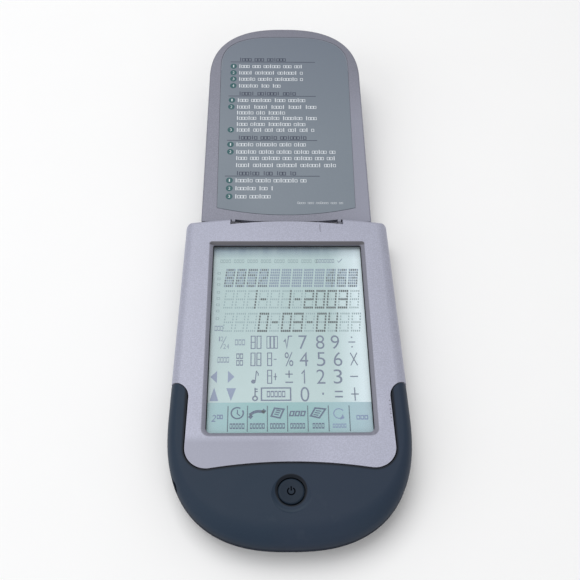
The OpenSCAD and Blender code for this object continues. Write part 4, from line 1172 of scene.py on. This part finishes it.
# ---------- the stylus ----------
def turned(name, centre, steps, sides=56):
    """A round part lathed along y: steps are (distance from the head's end, radius)."""
    x, y, z = centre
    rings = [(0, arc(0, 0, r, 0, 360 - 360 / sides, sides - 1)) for _, r in steps]
    piece = lofted(name, [(-d, ring) for (d, _), (_, ring) in zip(steps, rings)])
    piece.matrix_world = Matrix.Translation((x * MM, y * MM, z * MM)) @ Matrix.Rotation(math.radians(-90), 4, "X")
    bpy.context.view_layer.update()
    return settle(piece)


STYLUS_Y = APEX_Y - END_ARC + math.sqrt(END_ARC**2 - STYLUS_X**2) + 0.4
barrel = turned(
    "stylus_body",
    (STYLUS_X, STYLUS_Y, STYLUS_Z),
    [(0, 1.6), (0.1, 1.85), (0.35, 2.05), (0.6, 2.1), (2.7, 2.1), (2.95, 2.0)] + [(d, 1.7) for d in (3.05, 30, 60, 88)],
)
ride(smooth(barrel, 40), "stylus", KEY_NAVY, ["stylus_barrel"])

# ---------- finishes of the parts that keep their engineering shape ----------
KEPT = (
    (FOAM, "screen_gasket"),
    (TOUCH, "touch_panel"),
    (STRIP, "function_strip"),
    (LCD, "lcd_front_glass lcd_rear_glass"),
    (REFLECTOR, "lcd_reflector"),
    (SOCKET_BLACK, "lcd_frame"),
    (ZEBRA, "zebra_strip_top zebra_strip_bottom"),
    (TAIL, "touch_tail"),
    (IVORY, "tail_connector"),
    (BOARD, "main_board"),
    (RESIN, "processor_blob memory_chip"),
    (STEEL, "crystal_can reset_switch cell_springs cell_side_contacts door_screw case_screws board_screws"),
    (CERAMIC_TAN, "chip_capacitors"),
    (KEY_NAVY, "reset_key link_jack"),
    (GREY_RUBBER, "button_membrane"),
    (BRASS, "jack_contacts buzzer_disc"),
    (CERAMIC_WHITE, "buzzer_ceramic"),
    (LEAD_RED, "buzzer_leads"),
    (CELL_STEEL, "coin_cell_left coin_cell_right"),
    (NAVY, "battery_door"),
    (NIB, "stylus_nib"),
)
for material, nodes in KEPT:
    for node in nodes.split():
        mine(node, material)


# ---------- stage, light and camera ----------
bpy.ops.object.select_all(action="DESELECT")
bpy.ops.mesh.primitive_plane_add(size=6, location=(0, 0, 0))
floor = new_piece("floor")
wear(floor, mottled("pale_floor", (0.97, 0.97, 0.972), 0.8, 40, 0.01, 2, 0.00001))

world = bpy.data.worlds.new("studio")
bpy.context.scene.world = world
world.use_nodes = True
world.node_tree.nodes["Background"].inputs["Color"].default_value = (1.0, 1.0, 1.0, 1)
world.node_tree.nodes["Background"].inputs["Strength"].default_value = 0.50
bpy.context.scene.view_settings.view_transform = "Standard"


def softbox(name, place, aim, size, power, color=(1, 1, 1)):
    data = bpy.data.lights.new(name, "AREA")
    data.shape, data.size, data.energy, data.color = "SQUARE", size, power, color
    lamp = bpy.data.objects.new(name, data)
    bpy.context.scene.collection.objects.link(lamp)
    lamp.location = place
    lamp.rotation_euler = (Vector(aim) - Vector(place)).to_track_quat("-Z", "Y").to_euler()


softbox("overhead", (-0.25, 0.35, 1.1), (0, 0.03, 0), 0.9, 6.2)
softbox("left_fill", (-0.9, -0.35, 0.6), (0, 0, 0), 0.8, 2.4, (0.96, 0.98, 1))
softbox("front_fill", (0.5, -0.9, 0.7), (0, 0, 0), 0.8, 1.4)

view = bpy.data.cameras.new("camera")
view.sensor_width, view.lens = 36, 850 / 580 * 36
view.clip_start = 0.01
camera = bpy.data.objects.new("camera", view)
bpy.context.scene.collection.objects.link(camera)
forward = Vector((0.02516, 0.55880, -0.82892)).normalized()
right = Vector((0.99968, -0.01522, 0.02008))
right = (right - forward * right.dot(forward)).normalized()
up = right.cross(forward)
camera.matrix_world = Matrix.Translation((-0.00680, -0.13869, 0.26233)) @ Matrix(
    ((right.x, up.x, -forward.x), (right.y, up.y, -forward.y), (right.z, up.z, -forward.z))
).to_4x4()
bpy.context.scene.camera = camera
